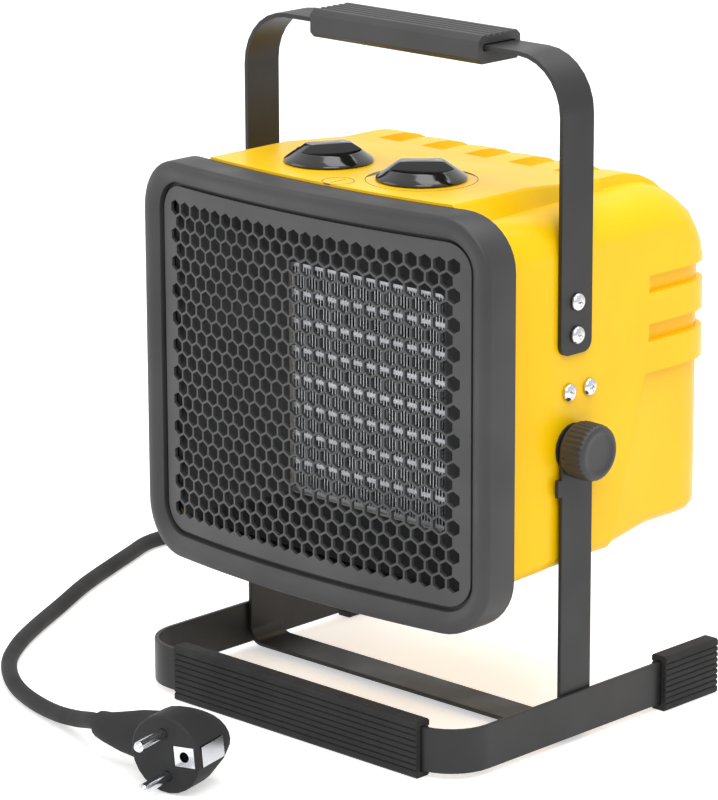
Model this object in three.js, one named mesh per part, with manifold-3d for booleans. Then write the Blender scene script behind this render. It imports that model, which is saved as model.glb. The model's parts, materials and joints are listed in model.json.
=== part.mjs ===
// Portable forced air heater: a bowed front bezel with a hexagon grille, a ceramic heating element
// behind a tapered duct, a fan, two dials on top, a carrying handle and a tilting strap stand.
// Units are millimetres, +Z is up, the air leaves towards -Y, and the floor is at Z = 0.
import * as THREE from 'three';
import { mergeVertices } from 'three/addons/utils/BufferGeometryUtils.js';
import Module from 'manifold-3d';

const wasm = await Module();
wasm.setup();

// ---------------------------------------------------------------- clearances and stock
const SEAT_GAP = 0.3;            // between faces that rest on each other
const SHAFT_GAP = 0.15;          // round a shaft, stud or screw in its hole
const HOLE_GAP = 0.4;            // round a screw that passes freely
const STRAP_WIDTH = 20;
const STRAP_THICKNESS = 2;
const RUBBER_WALL = 3;           // rubber sleeve and feet round the strap
const CORD_DIAMETER = 7.5;

// ---------------------------------------------------------------- overall places
const TOTAL_DEPTH = 184.8;
const HOUSING_DEPTH = 172.6;     // from the grille plane to the rear wall
const BODY_CENTRE_Z = 153.7;     // middle of the grille
const PIVOT_BEHIND_GRILLE = 72;
const PIVOT_BELOW_CENTRE = 20.2;
const REAR_Y = TOTAL_DEPTH / 2;
const FRONT_Y = -TOTAL_DEPTH / 2;
const GRILLE_Y = REAR_Y - HOUSING_DEPTH;
const PIVOT_Y = GRILLE_Y + PIVOT_BEHIND_GRILLE;
const PIVOT_Z = BODY_CENTRE_Z - PIVOT_BELOW_CENTRE;

// ---------------------------------------------------------------- bezel and grille
const BOW_RADIUS = 535;          // the front is bent round a vertical axis
const BOW_FACETS = 8;
const BEZEL_HALF_WIDTH = 104.5;
const BEZEL_HALF_HEIGHT = 91.5;
const BEZEL_DEPTH = 16.9;
const BEZEL_CORNER = 24;
const BEZEL_PROUD = 4.2;         // the rim stands in front of the grille
const BEZEL_BAND = 6;            // thickness of the rear band round the housing
const BEZEL_EDGE = 1.6;          // rounded outer front edge
const RIM_WIDTH = 4;
const COVE_INSET = 9.7;          // where the cove inside the rim ends
const COVE_DEPTH = 2.85;
const LEDGE_INSET = 14;          // the ledge that carries the grille
const LEDGE_THICKNESS = 2.6;
const GRILLE_GROOVE = 2;         // dark groove round the grille plate
const GRILLE_THICKNESS = 1.6;
const HEX_PITCH = 21.95;         // three cells of the fine mesh in one
const HEX_WEB = 2.6;
const HEX_COLUMNS = 8;
const HEX_ROWS = 7;

// ---------------------------------------------------------------- housing
const WALL = 2.6;
const PAD_HALF_WIDTH = 93.4;     // side pads that carry the straps
const NECK_START = 28;           // narrow part behind the lip
const NECK_END = 34;
const PAD_START = 62;
const PAD_LEVEL_END = 92;        // the walls inside the pads are straight up to here
const RECESS_DEPTH = 3.5;        // side slots and the lower rear recess
const SHOULDER_DROP = 7;         // below the bezel's top
const SHOULDER_Z = BEZEL_HALF_HEIGHT - SHOULDER_DROP;   // above the grille's centre
const SHOULDER_RADIUS = 20;
const UNDERSIDE_NECK_LIFT = 13.5;        // neck above the bezel's lower edge
const UNDERSIDE_LIFT = 4.7;      // underside behind the neck
const UNDERSIDE_NECK_Z = UNDERSIDE_NECK_LIFT - BEZEL_HALF_HEIGHT;
const UNDERSIDE_Z = UNDERSIDE_NECK_Z + UNDERSIDE_LIFT;
const UNDERSIDE_RADIUS = 6;
const UNDERSIDE_RECESS = 4.3;
const NECK_HALF_WIDTH = 88.3;
const LIP_HALF_WIDTH = 96;
const LIP_START = 12.5;          // behind the grille plane
const LIP_END = 24;
const LIP_RADIUS = 12;
const REAR_SIDE_RADIUS = 20;
const REAR_TOP_RADIUS = 42;
const REAR_BOTTOM_RADIUS = 12;
const REAR_WALL = 6.5;
const REAR_STEPS = 7;            // facets round the rear top edge
const PLATEAU_RISE = 8;          // the crown's plateau above the shoulders
const PLATEAU_Z = SHOULDER_Z + PLATEAU_RISE;
const PLATEAU_HALF_WIDTH = 74;
const PLATEAU_END = 66;          // from here the crown slopes down to the rear
const CROWN_FLARE = 5.1;         // how far the crown's flanks lean outwards
const CROWN_ROOT = 6;            // how deep they are rooted in the shoulders
const RIDGE_START = 105;         // from here the ridges go on, with grooves between them
const RIDGE_RISE = 4.5;          // above the shoulders
const RIDGE_Z = SHOULDER_Z + RIDGE_RISE;
const RIDGE_PITCH = 26.5;
const RIDGE_WIDTH = 15;
const RIDGE_REAR_RADIUS = 48;    // how a ridge rolls over to the rear wall
const GROOVE_START = 112;
const SLOT_START = 123;          // side slots, behind the grille plane
const SLOT_HEIGHT = 8;
const SLOT_PITCH = 21.9;
const SLOT_TOP_Z = 46.9;         // upper edge of the first side slot
const PAD_REAR_TOP = 120.5;      // the pad's slanted rear edge, top and bottom
const PAD_REAR_BOTTOM = 100;
const INTAKE_HALF_WIDTH = 52;
const INTAKE_LOW_Z = -54;
const INTAKE_HIGH_Z = 26;
const INTAKE_CORNER = 8;
const INTAKE_LEDGE = 5;
const INTAKE_RECESS = 4;
const INTAKE_THICKNESS = 2;
const INTAKE_SLOTS = 7;
const INTAKE_SLOT_HEIGHT = 5;
const INTAKE_RIB = 4;            // upright between the two columns of slots
const INTAKE_SCREW_RADIUS = 1.2;
const INTAKE_SCREW_INSET = 14;
const INTAKE_HEAD_RADIUS = 2.1;

// ---------------------------------------------------------------- duct, element, fan
const DUCT_FRONT = 10.5;         // behind the grille plane
const DUCT_INSET = [16.3, 18];   // inside the bezel's outline, at the sides and above
const DUCT_FRONT_HALF_WIDTH = BEZEL_HALF_WIDTH - DUCT_INSET[0];
const DUCT_FRONT_HALF_HEIGHT = BEZEL_HALF_HEIGHT - DUCT_INSET[1];
const DUCT_FRONT_CORNER = 10;
const DUCT_REAR_CORNER = 3;
const DUCT_WALL = 1.2;
const ELEMENT_FRONT = 41;
const ELEMENT_DEPTH = 22;
const ELEMENT_HALF_WIDTH = 47.5;
const ELEMENT_LOW_Z = -61.7;
const ELEMENT_HIGH_Z = 45.3;
const ELEMENT_BARS = 5;
const ELEMENT_FINS = 13;
const BAR_HEIGHT = 5;
const FIN_THICKNESS = 2;
const FRAME_WALL = 6;
const BAFFLE_FRONT = 88;         // behind the grille plane
const BAFFLE_THICKNESS = 3;
const FAN_RADIUS = 45;
const FAN_TIP_GAP = 2;
const FAN_BLADES = 7;
const FAN_DEPTH = 16;
const FAN_HUB_RADIUS = 13;
const FAN_AHEAD = 6;             // the fan starts this far in front of the baffle
const BLADE_PITCH = 35;          // degrees
const BLADE_THICKNESS = 1.8;
const MOTOR_SHAFT_RADIUS = 2;
const MOTOR_RADIUS = 23;
const MOTOR_LENGTH = 34;
const BRACKET_THICKNESS = 2.5;
const BRACKET_ARM = 12;
const BRACKET_REACH = 56;        // from the fan's axis to each post
const BRACKET_POST_RADIUS = 4;
const BRACKET_EYE = 7;
const CUTOUT_RADIUS = 8;
const CUTOUT_HEIGHT = 6;
const CUTOUT_RISE = 14;          // above the element
const TERMINAL_INSET = 6.8;      // from the side wall, beside the fan's opening
const TERMINAL_SIZE = 26;
const TERMINAL_DEPTH = 11.7;

// ---------------------------------------------------------------- dials
const DIAL_SPACING = 56;
const DIAL_BEHIND_GRILLE = 47;
const DIAL_RADIUS = 20;
const DIAL_SKIRT = 1;            // height of the dial's upright outer edge
const DIAL_HEIGHT = 8.2;
const DIAL_TOP_RADIUS = 10.3;
const DIAL_RIM_RADIUS = 14.5;    // the finger scoops reach out to here
const DIAL_SCOOP_FLOOR = 2.2;
const DIAL_GRIP_WIDTH = 7.6;     // bar between the two scoops
const DIAL_SHAFT_RADIUS = 2.5;
const DIAL_BORE_DEPTH = 6;
const SWITCH_HALF = 12;
const SWITCH_HEIGHT = 22;
const SELECTOR_REST_ANGLE = 62;  // degrees, the way the grip bar points
const THERMOSTAT_REST_ANGLE = 44;

// ---------------------------------------------------------------- stand and handle
const WASHER_THICKNESS = 1;      // between a side pad and an upright
const SUPPORT_HALF_WIDTH = PAD_HALF_WIDTH + WASHER_THICKNESS + 2 * SEAT_GAP
  + STRAP_THICKNESS;             // outside of the uprights
const BASE_FRONT_TO_REAR = 170.5;
const BASE_BEND = 22;
const SUPPORT_BEND = 8;
const SLEEVE_LENGTH = 150;
const SLEEVE_SHIFT = 5;          // the sleeve sits a little to the right
const SLEEVE_RIBS = 9;
const RIB_DEPTH = 0.9;
const FOOT_LENGTH = 37;
const FOOT_OVERLAP = 34;         // how far the strap enters the foot
const TAB_DROP = 16;             // stop tab below the pivot
const TAB_HEIGHT = 8;
const TAB_REACH = 2.6;
const STUD_RADIUS = 3;
const KNOB_RADIUS = 12.8;
const KNOB_HEIGHT = 12.3;
const KNOB_FLUTES = 16;
const KNOB_FLUTE_DEPTH = 0.7;
const HANDLE_HALF_WIDTH = PAD_HALF_WIDTH + SEAT_GAP + STRAP_THICKNESS;   // outside of the legs
const HANDLE_TOP_Z = 305.4;
const HANDLE_BEND = 26;
const HANDLE_END_Z = 175.5;
const HANDLE_END_CORNER = 5;
const GRIP_LENGTH = 101;
const GRIP_WIDTH = 27;
const GRIP_LOW_Z = 297.2;
const GRIP_HIGH_Z = 309.9;
const GRIP_CHAMFER = 2.2;
const GRIP_RIBS = 6;
const HANDLE_SCREW_Z = [198.6, 184];
const SIDE_SCREW_RISE = 25;      // above the pivot
const SIDE_SCREW_OFFSETS = [-2.4, 11];
const SCREW_RADIUS = 1.8;
const SCREW_HEAD_RADIUS = 4;
const SCREW_HEAD_HEIGHT = 2.4;
const SIDE_PLATE_THICKNESS = 2;

// ---------------------------------------------------------------- cord and plug
const GLAND_X = -66;
const GLAND_LENGTH = 37;         // outside the rear wall, level with the pivot
const GLAND_RADIUS = 6.8;
const GLAND_COLLAR_RADIUS = 8.6;
const GLAND_COLLAR = 2.4;
const GLAND_END_RADIUS = 4.6;
const PLUG_PLACE = [15.1, -178.8, 17.9];      // middle of the plug's face
const PLUG_PINS_ALONG = [0.197, -0.98, -0.03];
const PLUG_ACROSS = [0.978, 0.195, 0.07];
const PLUG_RADIUS = 17.5;
const PLUG_DEPTH = 28;
const PIN_SPACING = 19;
const PIN_LENGTH = 19;
const PIN_RADIUS = 2.4;
const PIN_ROOT = 10;
const EARTH_FROM = 4.8;          // earth plate on the plug's face
const EARTH_TO = 15;
const EARTH_HALF = 4.5;
const EARTH_DEPTH = 2;
const EARTH_HOLE = 2.4;
const CLIP_LENGTH = 16;
const CLIP_THICKNESS = 1.2;
const CORD_SIDES = 8;
const CORD_STEP = 2.5;           // length of one straight step, in diameters
// The cord falls from its gland to the coil, and runs from the coil to the plug.
const CORD_FALL = [
  [-66, 129.7, 133.5], [-66, 140.9, 133.4], [-66, 151.8, 130.9], [-66.2, 161.3, 124.9],
  [-66.8, 168.3, 116.2], [-67.6, 172.9, 106], [-68.9, 177.4, 95.8], [-70.8, 181.5, 85.5],
  [-73.4, 185.4, 75.3], [-76.5, 188.8, 65], [-80.1, 191.6, 54.8], [-84.1, 193.9, 44.5],
  [-88.4, 195.5, 34.3], [-93, 196.6, 24.1], [-99.9, 197.5, 15.3], [-109.1, 197.9, 8.9],
  [-119.8, 198, 5.5], [-131, 198, 5], [-142.2, 198, 5],
];
const CORD_RUN = [
  [-198, 142.2, 13.1], [-198, 140, 13.1], [-199.2, 133.1, 12.4], [-202.7, 124.7, 10.2],
  [-208.3, 117.5, 7.6], [-215, 110.8, 5.5], [-222.4, 103.4, 4.3], [-229.5, 96.3, 4], [-236.6, 89.2, 4],
  [-242.2, 82, 4], [-245.7, 73.6, 4], [-246.9, 64.5, 4], [-245.4, 54.6, 4], [-238.8, 38.3, 4],
  [-230.2, 17.3, 4], [-217.5, -12.2, 4], [-201, -43.7, 4], [-186, -72.7, 4],
  [-174, -93.2, 4], [-158, -113.9, 4], [-140.3, -128.8, 4], [-122.7, -139, 4],
  [-103, -146, 4.1], [-83, -151.5, 5.6], [-63, -157.6, 9.6], [-45.2, -164.2, 14.7],
  [-38.8, -165.6, 15.1],
];
const COIL_CENTRE = [-150, 150, 5];        // middle of the coil's lower layer
const COIL_RADIUS = 48;          // of the outermost turn's centre line
const COIL_GAP = 0.6;            // between neighbouring turns
const COIL_TURNS = 3.25;         // in through the lower layer, out through the upper one
const COIL_START = 90;           // degrees round the centre
const COIL_STEPS = 24;           // straight steps in a turn
const COIL_SIDES = 6;
const TIE_AT = 135;              // degrees round the coil
const TIE_SLACK = 0.4;           // round the bundle of turns
const TIE_THICKNESS = 0.8;
const TIE_WIDTH = 5;

// ---------------------------------------------------------------- solids
const bow = (x) => (x * x) / (2 * BOW_RADIUS);
const behind = (distance) => GRILLE_Y + distance;       // behind the grille plane
const above = (height) => BODY_CENTRE_Z + height;       // above the grille's centre
const radians = (angle) => (angle * Math.PI) / 180;
const evenly = (count, from, to) => Array.from(
  { length: count }, (_, i) => from + ((to - from) * i) / (count - 1));

function volumeOf(points, index) {
  let volume = 0;
  const corner = new THREE.Vector3();
  const [b, c] = [new THREE.Vector3(), new THREE.Vector3()];
  for (let i = 0; i < index.length; i += 3) {
    corner.fromArray(points, 3 * index[i]);
    b.fromArray(points, 3 * index[i + 1]);
    c.fromArray(points, 3 * index[i + 2]);
    volume += corner.dot(b.cross(c));
  }
  return volume;
}

// Turns a closed geometry into a solid that can be joined and cut, with its faces outwards.
function solidOf(geometry) {
  const bare = geometry.index ? geometry.toNonIndexed() : geometry.clone();
  bare.deleteAttribute('normal');
  bare.deleteAttribute('uv');
  const merged = mergeVertices(bare, 1e-4);
  const points = merged.attributes.position.array;
  const index = merged.index.array;
  const inward = volumeOf(points, index) < 0;
  const triangles = [];
  for (let i = 0; i < index.length; i += 3) {
    const [a, b, c] = [index[i], index[i + 1], index[i + 2]];
    if (a !== b && b !== c && c !== a) triangles.push(...(inward ? [a, c, b] : [a, b, c]));
  }
  return new wasm.Manifold(new wasm.Mesh({
    numProp: 3,
    vertProperties: new Float32Array(points),
    triVerts: new Uint32Array(triangles),
  }));
}

const join = (...solids) => solids.reduce((sum, next) => sum.add(next));
const cut = (solid, ...tools) => tools.reduce((left, tool) => left.subtract(tool), solid);

function extrude(outline, holes, length) {
  const path = (points) => points.map(([u, v]) => new THREE.Vector2(u, v));
  const shape = new THREE.Shape(path(outline));
  shape.holes = holes.map((hole) => new THREE.Path(path(hole)));
  return new THREE.ExtrudeGeometry(shape, { depth: length, bevelEnabled: false, steps: 1 });
}

// Prisms: the outline lies square to the named axis, as [y, z], [x, z] or [x, y].
const ALONG_X = new THREE.Matrix4().set(0, 0, 1, 0, 1, 0, 0, 0, 0, 1, 0, 0, 0, 0, 0, 1);
const ALONG_Y = new THREE.Matrix4().set(1, 0, 0, 0, 0, 0, 1, 0, 0, 1, 0, 0, 0, 0, 0, 1);
const prismX = (yz, from, to, holes = []) => solidOf(
  extrude(yz, holes, to - from).applyMatrix4(ALONG_X).translate(from, 0, 0));
const prismY = (xz, from, to, holes = []) => solidOf(
  extrude(xz, holes, to - from).applyMatrix4(ALONG_Y).translate(0, from, 0));
const prismZ = (xy, from, to, holes = []) => solidOf(
  extrude(xy, holes, to - from).translate(0, 0, from));
const rectangle = (u0, u1, v0, v1) => [[u0, v0], [u1, v0], [u1, v1], [u0, v1]];
const box = (x0, x1, y0, y1, z0, z1) => prismZ(rectangle(x0, x1, y0, y1), z0, z1);

const arc = (u, v, radius, from, to, steps = 6) => evenly(steps + 1, from, to)
  .map((a) => [u + radius * Math.cos(radians(a)), v + radius * Math.sin(radians(a))]);
const circle = (u, v, radius, sides = 16) => arc(u, v, radius, 0, 360, sides).slice(0, -1);
const rodX = (y, z, radius, from, to, sides = 16) => prismX(circle(y, z, radius, sides), from, to);
const rodY = (x, z, radius, from, to, sides = 16) => prismY(circle(x, z, radius, sides), from, to);
const rodZ = (x, y, radius, from, to, sides = 16) => prismZ(circle(x, y, radius, sides), from, to);

// A ring of points round a section with its own corner radii above and below; `edge` adds
// points along the top and bottom, so that a long edge can bend.
function ring({ half, top, bottom, upper, lower }, edge = 1, steps = 4) {
  const between = (a, b) => evenly(edge + 1, 0, 1).slice(1, -1)
    .map((t) => [a[0] + (b[0] - a[0]) * t, a[1] + (b[1] - a[1]) * t]);
  const upperRight = arc(half - upper, top - upper, upper, 0, 90, steps);
  const upperLeft = arc(upper - half, top - upper, upper, 90, 180, steps);
  const lowerLeft = arc(lower - half, bottom + lower, lower, 180, 270, steps);
  const lowerRight = arc(half - lower, bottom + lower, lower, 270, 360, steps);
  return [...upperRight, ...between(upperRight.at(-1), upperLeft[0]), ...upperLeft,
    ...lowerLeft, ...between(lowerLeft.at(-1), lowerRight[0]), ...lowerRight];
}

// A closed surface through rings of 3-D points. With `around` the last ring meets the first,
// and otherwise each end ring, which is convex, is closed by a fan.
function skin(rings, around = false) {
  const count = rings[0].length;
  const triangles = [];
  const bands = around ? rings.length : rings.length - 1;
  for (let r = 0; r < bands; r += 1) {
    const next = ((r + 1) % rings.length) * count;
    for (let i = 0; i < count; i += 1) {
      const [a, b] = [r * count + i, r * count + ((i + 1) % count)];
      const [c, d] = [next + ((i + 1) % count), next + i];
      triangles.push(a, b, c, a, c, d);
    }
  }
  if (!around) {
    const last = (rings.length - 1) * count;
    for (let i = 1; i + 1 < count; i += 1) {
      triangles.push(0, i + 1, i, last, last + i, last + i + 1);
    }
  }
  const geometry = new THREE.BufferGeometry();
  geometry.setAttribute('position', new THREE.Float32BufferAttribute(rings.flat(2), 3));
  geometry.setIndex(triangles);
  return solidOf(geometry);
}
// Flat [x, z] rings, each at its own place along Y.
const loft = (stations) => skin(stations.map(
  ([y, flat]) => flat.map(([x, z]) => [x, y, z])));

function turned(profile, x, y, z, axis, sides = 20) {
  const geometry = new THREE.LatheGeometry(
    profile.map(([radius, height]) => new THREE.Vector2(radius, height)), sides);
  if (axis === 'x') geometry.rotateZ(-Math.PI / 2);
  if (axis === '-x') geometry.rotateZ(Math.PI / 2);
  if (axis === 'z') geometry.rotateX(Math.PI / 2);
  return solidOf(geometry.translate(x, y, z));
}

// ---------------------------------------------------------------- materials and scene
const FINISHES = {
  housing_yellow: [0xf6c21c, 0.45, 0],
  bezel_black: [0x4a4b4d, 0.6, 0],
  duct_grey: [0x303133, 0.7, 0.2],
  steel_black: [0x3a3b3d, 0.45, 0.3],
  rubber_black: [0x2b2b2c, 0.85, 0],
  dial_black: [0x17171a, 0.25, 0],
  aluminium: [0xc9cbce, 0.35, 0.9],
  zinc_steel: [0xb9bbbf, 0.35, 0.9],
  chrome: [0xd9dadd, 0.15, 1],
  motor_steel: [0x8d9094, 0.4, 0.9],
  fan_black: [0x26272a, 0.5, 0],
  terminal_white: [0xe6e4dc, 0.5, 0],
};

function place(parent, name, finish, solid) {
  const result = solid.getMesh();
  const geometry = new THREE.BufferGeometry();
  geometry.setAttribute('position', new THREE.Float32BufferAttribute(result.vertProperties, 3));
  geometry.setIndex(Array.from(result.triVerts));
  const [color, roughness, metalness] = FINISHES[finish];
  const mesh = new THREE.Mesh(geometry, new THREE.MeshStandardMaterial({
    name: finish, color, roughness, metalness,
  }));
  mesh.name = name;
  parent.add(mesh);
}
const SIDES = [['left', -1], ['right', 1]];
const span = (sign, inner, outer) => (sign > 0 ? [inner, outer] : [-outer, -inner]);

// ---------------------------------------------------------------- bezel and grille
const LEDGE_FRONT = BEZEL_PROUD + GRILLE_THICKNESS + SEAT_GAP;
const LEDGE_REAR = LEDGE_FRONT + LEDGE_THICKNESS;
const ROOM_MARGIN = 4;
const CUT_REACH = 4;             // by which a cutter runs past what it cuts

// A frame whose profile, as [inset from the bezel's outer edge, depth], runs round the bezel.
function bezelFrame(profile) {
  const edge = 10;
  return skin(profile.map(([inset, depth]) => {
    const radius = BEZEL_CORNER - inset;
    return ring({
      half: BEZEL_HALF_WIDTH - inset,
      top: above(BEZEL_HALF_HEIGHT - inset),
      bottom: above(inset - BEZEL_HALF_HEIGHT),
      upper: radius,
      lower: radius,
    }, edge).map(([x, z]) => [x, behind(depth - BEZEL_PROUD) + bow(x), z]);
  }), true);
}

function frontBezel() {
  const edge = BEZEL_EDGE;
  const cove = COVE_INSET - RIM_WIDTH;
  return bezelFrame([
    [0, BEZEL_DEPTH], [0, edge], [edge * 0.3, edge * 0.3], [edge, 0], [RIM_WIDTH, 0],
    [RIM_WIDTH + cove * 0.4, COVE_DEPTH * 0.25], [RIM_WIDTH + cove * 0.75, COVE_DEPTH * 0.65],
    [COVE_INSET, COVE_DEPTH], [COVE_INSET, LEDGE_FRONT], [LEDGE_INSET, LEDGE_FRONT],
    [LEDGE_INSET, LEDGE_REAR], [BEZEL_BAND, LEDGE_REAR], [BEZEL_BAND, BEZEL_DEPTH],
  ]);
}

// What the bezel, with its seat gap, keeps free of the housing.
const bezelRoom = () => bezelFrame([
  [-ROOM_MARGIN, BEZEL_DEPTH + SEAT_GAP], [-ROOM_MARGIN, -BEZEL_DEPTH],
  [LEDGE_INSET + ROOM_MARGIN, -BEZEL_DEPTH], [LEDGE_INSET + ROOM_MARGIN, LEDGE_REAR + SEAT_GAP],
  [BEZEL_BAND + SEAT_GAP, LEDGE_REAR + SEAT_GAP],
  [BEZEL_BAND + SEAT_GAP, BEZEL_DEPTH + SEAT_GAP],
]);

function hexGrille() {
  const inset = COVE_INSET + GRILLE_GROOVE;
  const outline = ring({
    half: BEZEL_HALF_WIDTH - inset,
    top: above(BEZEL_HALF_HEIGHT - inset),
    bottom: above(inset - BEZEL_HALF_HEIGHT),
    upper: BEZEL_CORNER - inset,
    lower: BEZEL_CORNER - inset,
  });
  const across = evenly(BOW_FACETS + 1, -BEZEL_HALF_WIDTH, BEZEL_HALF_WIDTH);
  const bowed = (distance) => across.map((x) => [x, behind(distance) + bow(x)]);
  const sheet = prismZ([...bowed(0), ...bowed(GRILLE_THICKNESS).reverse()],
    above(-BEZEL_HALF_HEIGHT), above(BEZEL_HALF_HEIGHT));
  const rowPitch = (HEX_PITCH * Math.sqrt(3)) / 2;
  const reach = (HEX_PITCH - HEX_WEB) / Math.sqrt(3);
  const holes = [];
  for (let row = 0; row < HEX_ROWS; row += 1) {
    const columns = HEX_COLUMNS - (row % 2);
    const z = above(((HEX_ROWS - 1) / 2 - row) * rowPitch);
    for (let column = 0; column < columns; column += 1) {
      const x = (column - (columns - 1) / 2) * HEX_PITCH;
      holes.push(prismY(arc(x, z, reach, 30, 330, 5), behind(-1), behind(LEDGE_REAR) + bow(x)));
    }
  }
  const plate = sheet.intersect(prismY(outline, behind(-1), behind(BEZEL_DEPTH)));
  return cut(plate, join(...holes));
}

// ---------------------------------------------------------------- housing
// The neck widens into the pads: shares of the way back, out and up.
const FLARE = [[0, 0, 0], [0.36, 0.4, 0.32], [0.71, 0.88, 0.66], [1, 1, 0.85]];
const mix = (from, to, share) => from + (to - from) * share;
const FLARE_STATIONS = FLARE.map(([back, out, up]) => [mix(NECK_END, PAD_START, back),
  mix(NECK_HALF_WIDTH, PAD_HALF_WIDTH, out), SHOULDER_Z,
  mix(UNDERSIDE_NECK_Z, UNDERSIDE_Z, up), UNDERSIDE_RADIUS]);
const STEP = 0.1;                // length of a step that is square in the real shell
const BEZEL_SEAT = [BEZEL_HALF_WIDTH - BEZEL_BAND, BEZEL_HALF_HEIGHT - BEZEL_BAND,
  BEZEL_BAND - BEZEL_HALF_HEIGHT, SHOULDER_RADIUS];
const LIP = [LIP_HALF_WIDTH, SHOULDER_Z, UNDERSIDE_NECK_Z, LIP_RADIUS];

// [behind the grille, half-width, top, underside, lower corner radius]
const HOUSING_STATIONS = [
  [1, ...BEZEL_SEAT],
  [LIP_START - STEP, ...BEZEL_SEAT],
  [LIP_START, ...LIP],
  [LIP_END, ...LIP],
  [LIP_END + 6 * STEP, NECK_HALF_WIDTH + 1.7, SHOULDER_Z, UNDERSIDE_NECK_Z, LIP_RADIUS],
  [NECK_START, NECK_HALF_WIDTH, SHOULDER_Z, UNDERSIDE_NECK_Z, LIP_RADIUS],
  ...FLARE_STATIONS,
  [PAD_LEVEL_END, PAD_HALF_WIDTH, SHOULDER_Z, UNDERSIDE_Z, UNDERSIDE_RADIUS],
];
const REAR_STATIONS = evenly(REAR_STEPS + 1, 0, 90).slice(0, -1).map(
  (angle) => HOUSING_DEPTH - REAR_TOP_RADIUS * (1 - Math.sin(radians(angle))));

// How far a face has rolled over towards the rear wall, on an arc of the given radius.
function rolled(distance, radius, wall = 0) {
  const past = Math.max(0, distance - (HOUSING_DEPTH - radius));
  const inner = radius - wall;
  return inner - Math.sqrt(Math.max(inner * inner - past * past, 0));
}

function rearRing(distance, wall, side, under) {
  return ring({
    half: PAD_HALF_WIDTH - side - wall - rolled(distance, REAR_SIDE_RADIUS, wall),
    top: above(SHOULDER_Z - wall - rolled(distance, REAR_TOP_RADIUS, wall)),
    bottom: above(UNDERSIDE_Z + under + wall + rolled(distance, REAR_BOTTOM_RADIUS, wall)),
    upper: SHOULDER_RADIUS - wall,
    lower: UNDERSIDE_RADIUS - wall,
  });
}

const housingBody = (side, under) => loft([
  ...HOUSING_STATIONS.map(([distance, half, top, bottom, lower]) => [behind(distance), ring({
    half, top: above(top), bottom: above(bottom), upper: SHOULDER_RADIUS, lower,
  })]),
  ...[...REAR_STATIONS, HOUSING_DEPTH].map((distance) => [
    behind(distance), rearRing(distance, 0, side, under)]),
]);

// The room inside the walls. Behind the pads it also clears the slots and the lower recess.
const cavityRing = (half, top, bottom, lower) => ring({
  half: half - WALL,
  top: above(top - WALL),
  bottom: above(bottom + WALL),
  upper: SHOULDER_RADIUS - WALL,
  lower: lower - WALL,
});
const LIP_CAVITY = cavityRing(...LIP);
const CAVITY_END = HOUSING_DEPTH - REAR_WALL;
const RECESS_INSIDE = PAD_REAR_BOTTOM - 4;    // from here on the walls clear the recesses

const housingCavity = () => loft([
  [behind(-BEZEL_DEPTH), LIP_CAVITY],
  [behind(LIP_END - WALL), LIP_CAVITY],
  [behind(LIP_END - WALL + 6 * STEP),
    cavityRing(NECK_HALF_WIDTH, SHOULDER_Z, UNDERSIDE_NECK_Z, LIP_RADIUS)],
  ...[...FLARE_STATIONS, ...HOUSING_STATIONS.slice(-1)].map(
    ([distance, ...sizes]) => [behind(distance), cavityRing(...sizes)]),
  ...[RECESS_INSIDE, ...REAR_STATIONS.filter((distance) => distance < CAVITY_END), CAVITY_END]
    .map((distance) => [behind(distance), rearRing(distance, WALL, RECESS_DEPTH, UNDERSIDE_RECESS)]),
]);

// The raised crown: narrow in front of the handle, wide with ridges behind it.
const CROWN_EDGE = 1.5;
const CROWN_SKIRT = 17;          // how far the leaning flanks reach down
const CROWN_START = 1;           // hidden inside the bezel's band
const GROOVE_SLOPE = 2.5;        // length of the slope at a groove's front end
const RIDGE_ROOT = 1.5;          // how deep a ridge is rooted in the shoulders
const RIDGE_EDGE = 1;

function crownRing(half, top) {
  const foot = half + CROWN_FLARE;
  const right = [[half - CROWN_EDGE, top], [half, top - CROWN_EDGE], [foot, top - CROWN_SKIRT],
    [foot - 2 * CROWN_ROOT, top - CROWN_SKIRT - CROWN_ROOT]];
  return [...right, ...right.map(([x, z]) => [-x, z]).reverse()].map(([x, z]) => [x, above(z)]);
}

const RIDGE_ROLL = HOUSING_DEPTH - RIDGE_REAR_RADIUS;   // where a ridge starts to roll over
const RIDGE_STATIONS = [RIDGE_START, RIDGE_ROLL, ...REAR_STATIONS, HOUSING_DEPTH - STEP];

function ridge(middle) {
  const half = RIDGE_WIDTH / 2;
  return loft(RIDGE_STATIONS.map((distance) => {
    const top = RIDGE_Z - rolled(distance, RIDGE_REAR_RADIUS);
    const shoulder = SHOULDER_Z - rolled(distance, REAR_TOP_RADIUS);
    const low = Math.min(top, shoulder) - RIDGE_ROOT;
    return [behind(distance), [[middle + half - RIDGE_EDGE, above(top)], [middle + half, above(low)],
      [middle - half, above(low)], [middle - half + RIDGE_EDGE, above(top)]]];
  }));
}

function crown() {
  const plateau = loft([[CROWN_START, PLATEAU_Z], [PLATEAU_END, PLATEAU_Z], [RIDGE_START, RIDGE_Z],
    [GROOVE_START, RIDGE_Z], [GROOVE_START + GROOVE_SLOPE, SHOULDER_Z]].map(
    ([distance, top]) => [behind(distance), crownRing(PLATEAU_HALF_WIDTH, top)]));
  const ridges = [-2.5, -1.5, -0.5, 0.5, 1.5, 2.5].map((place) => ridge(place * RIDGE_PITCH));
  return join(plateau, ...ridges);
}

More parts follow.
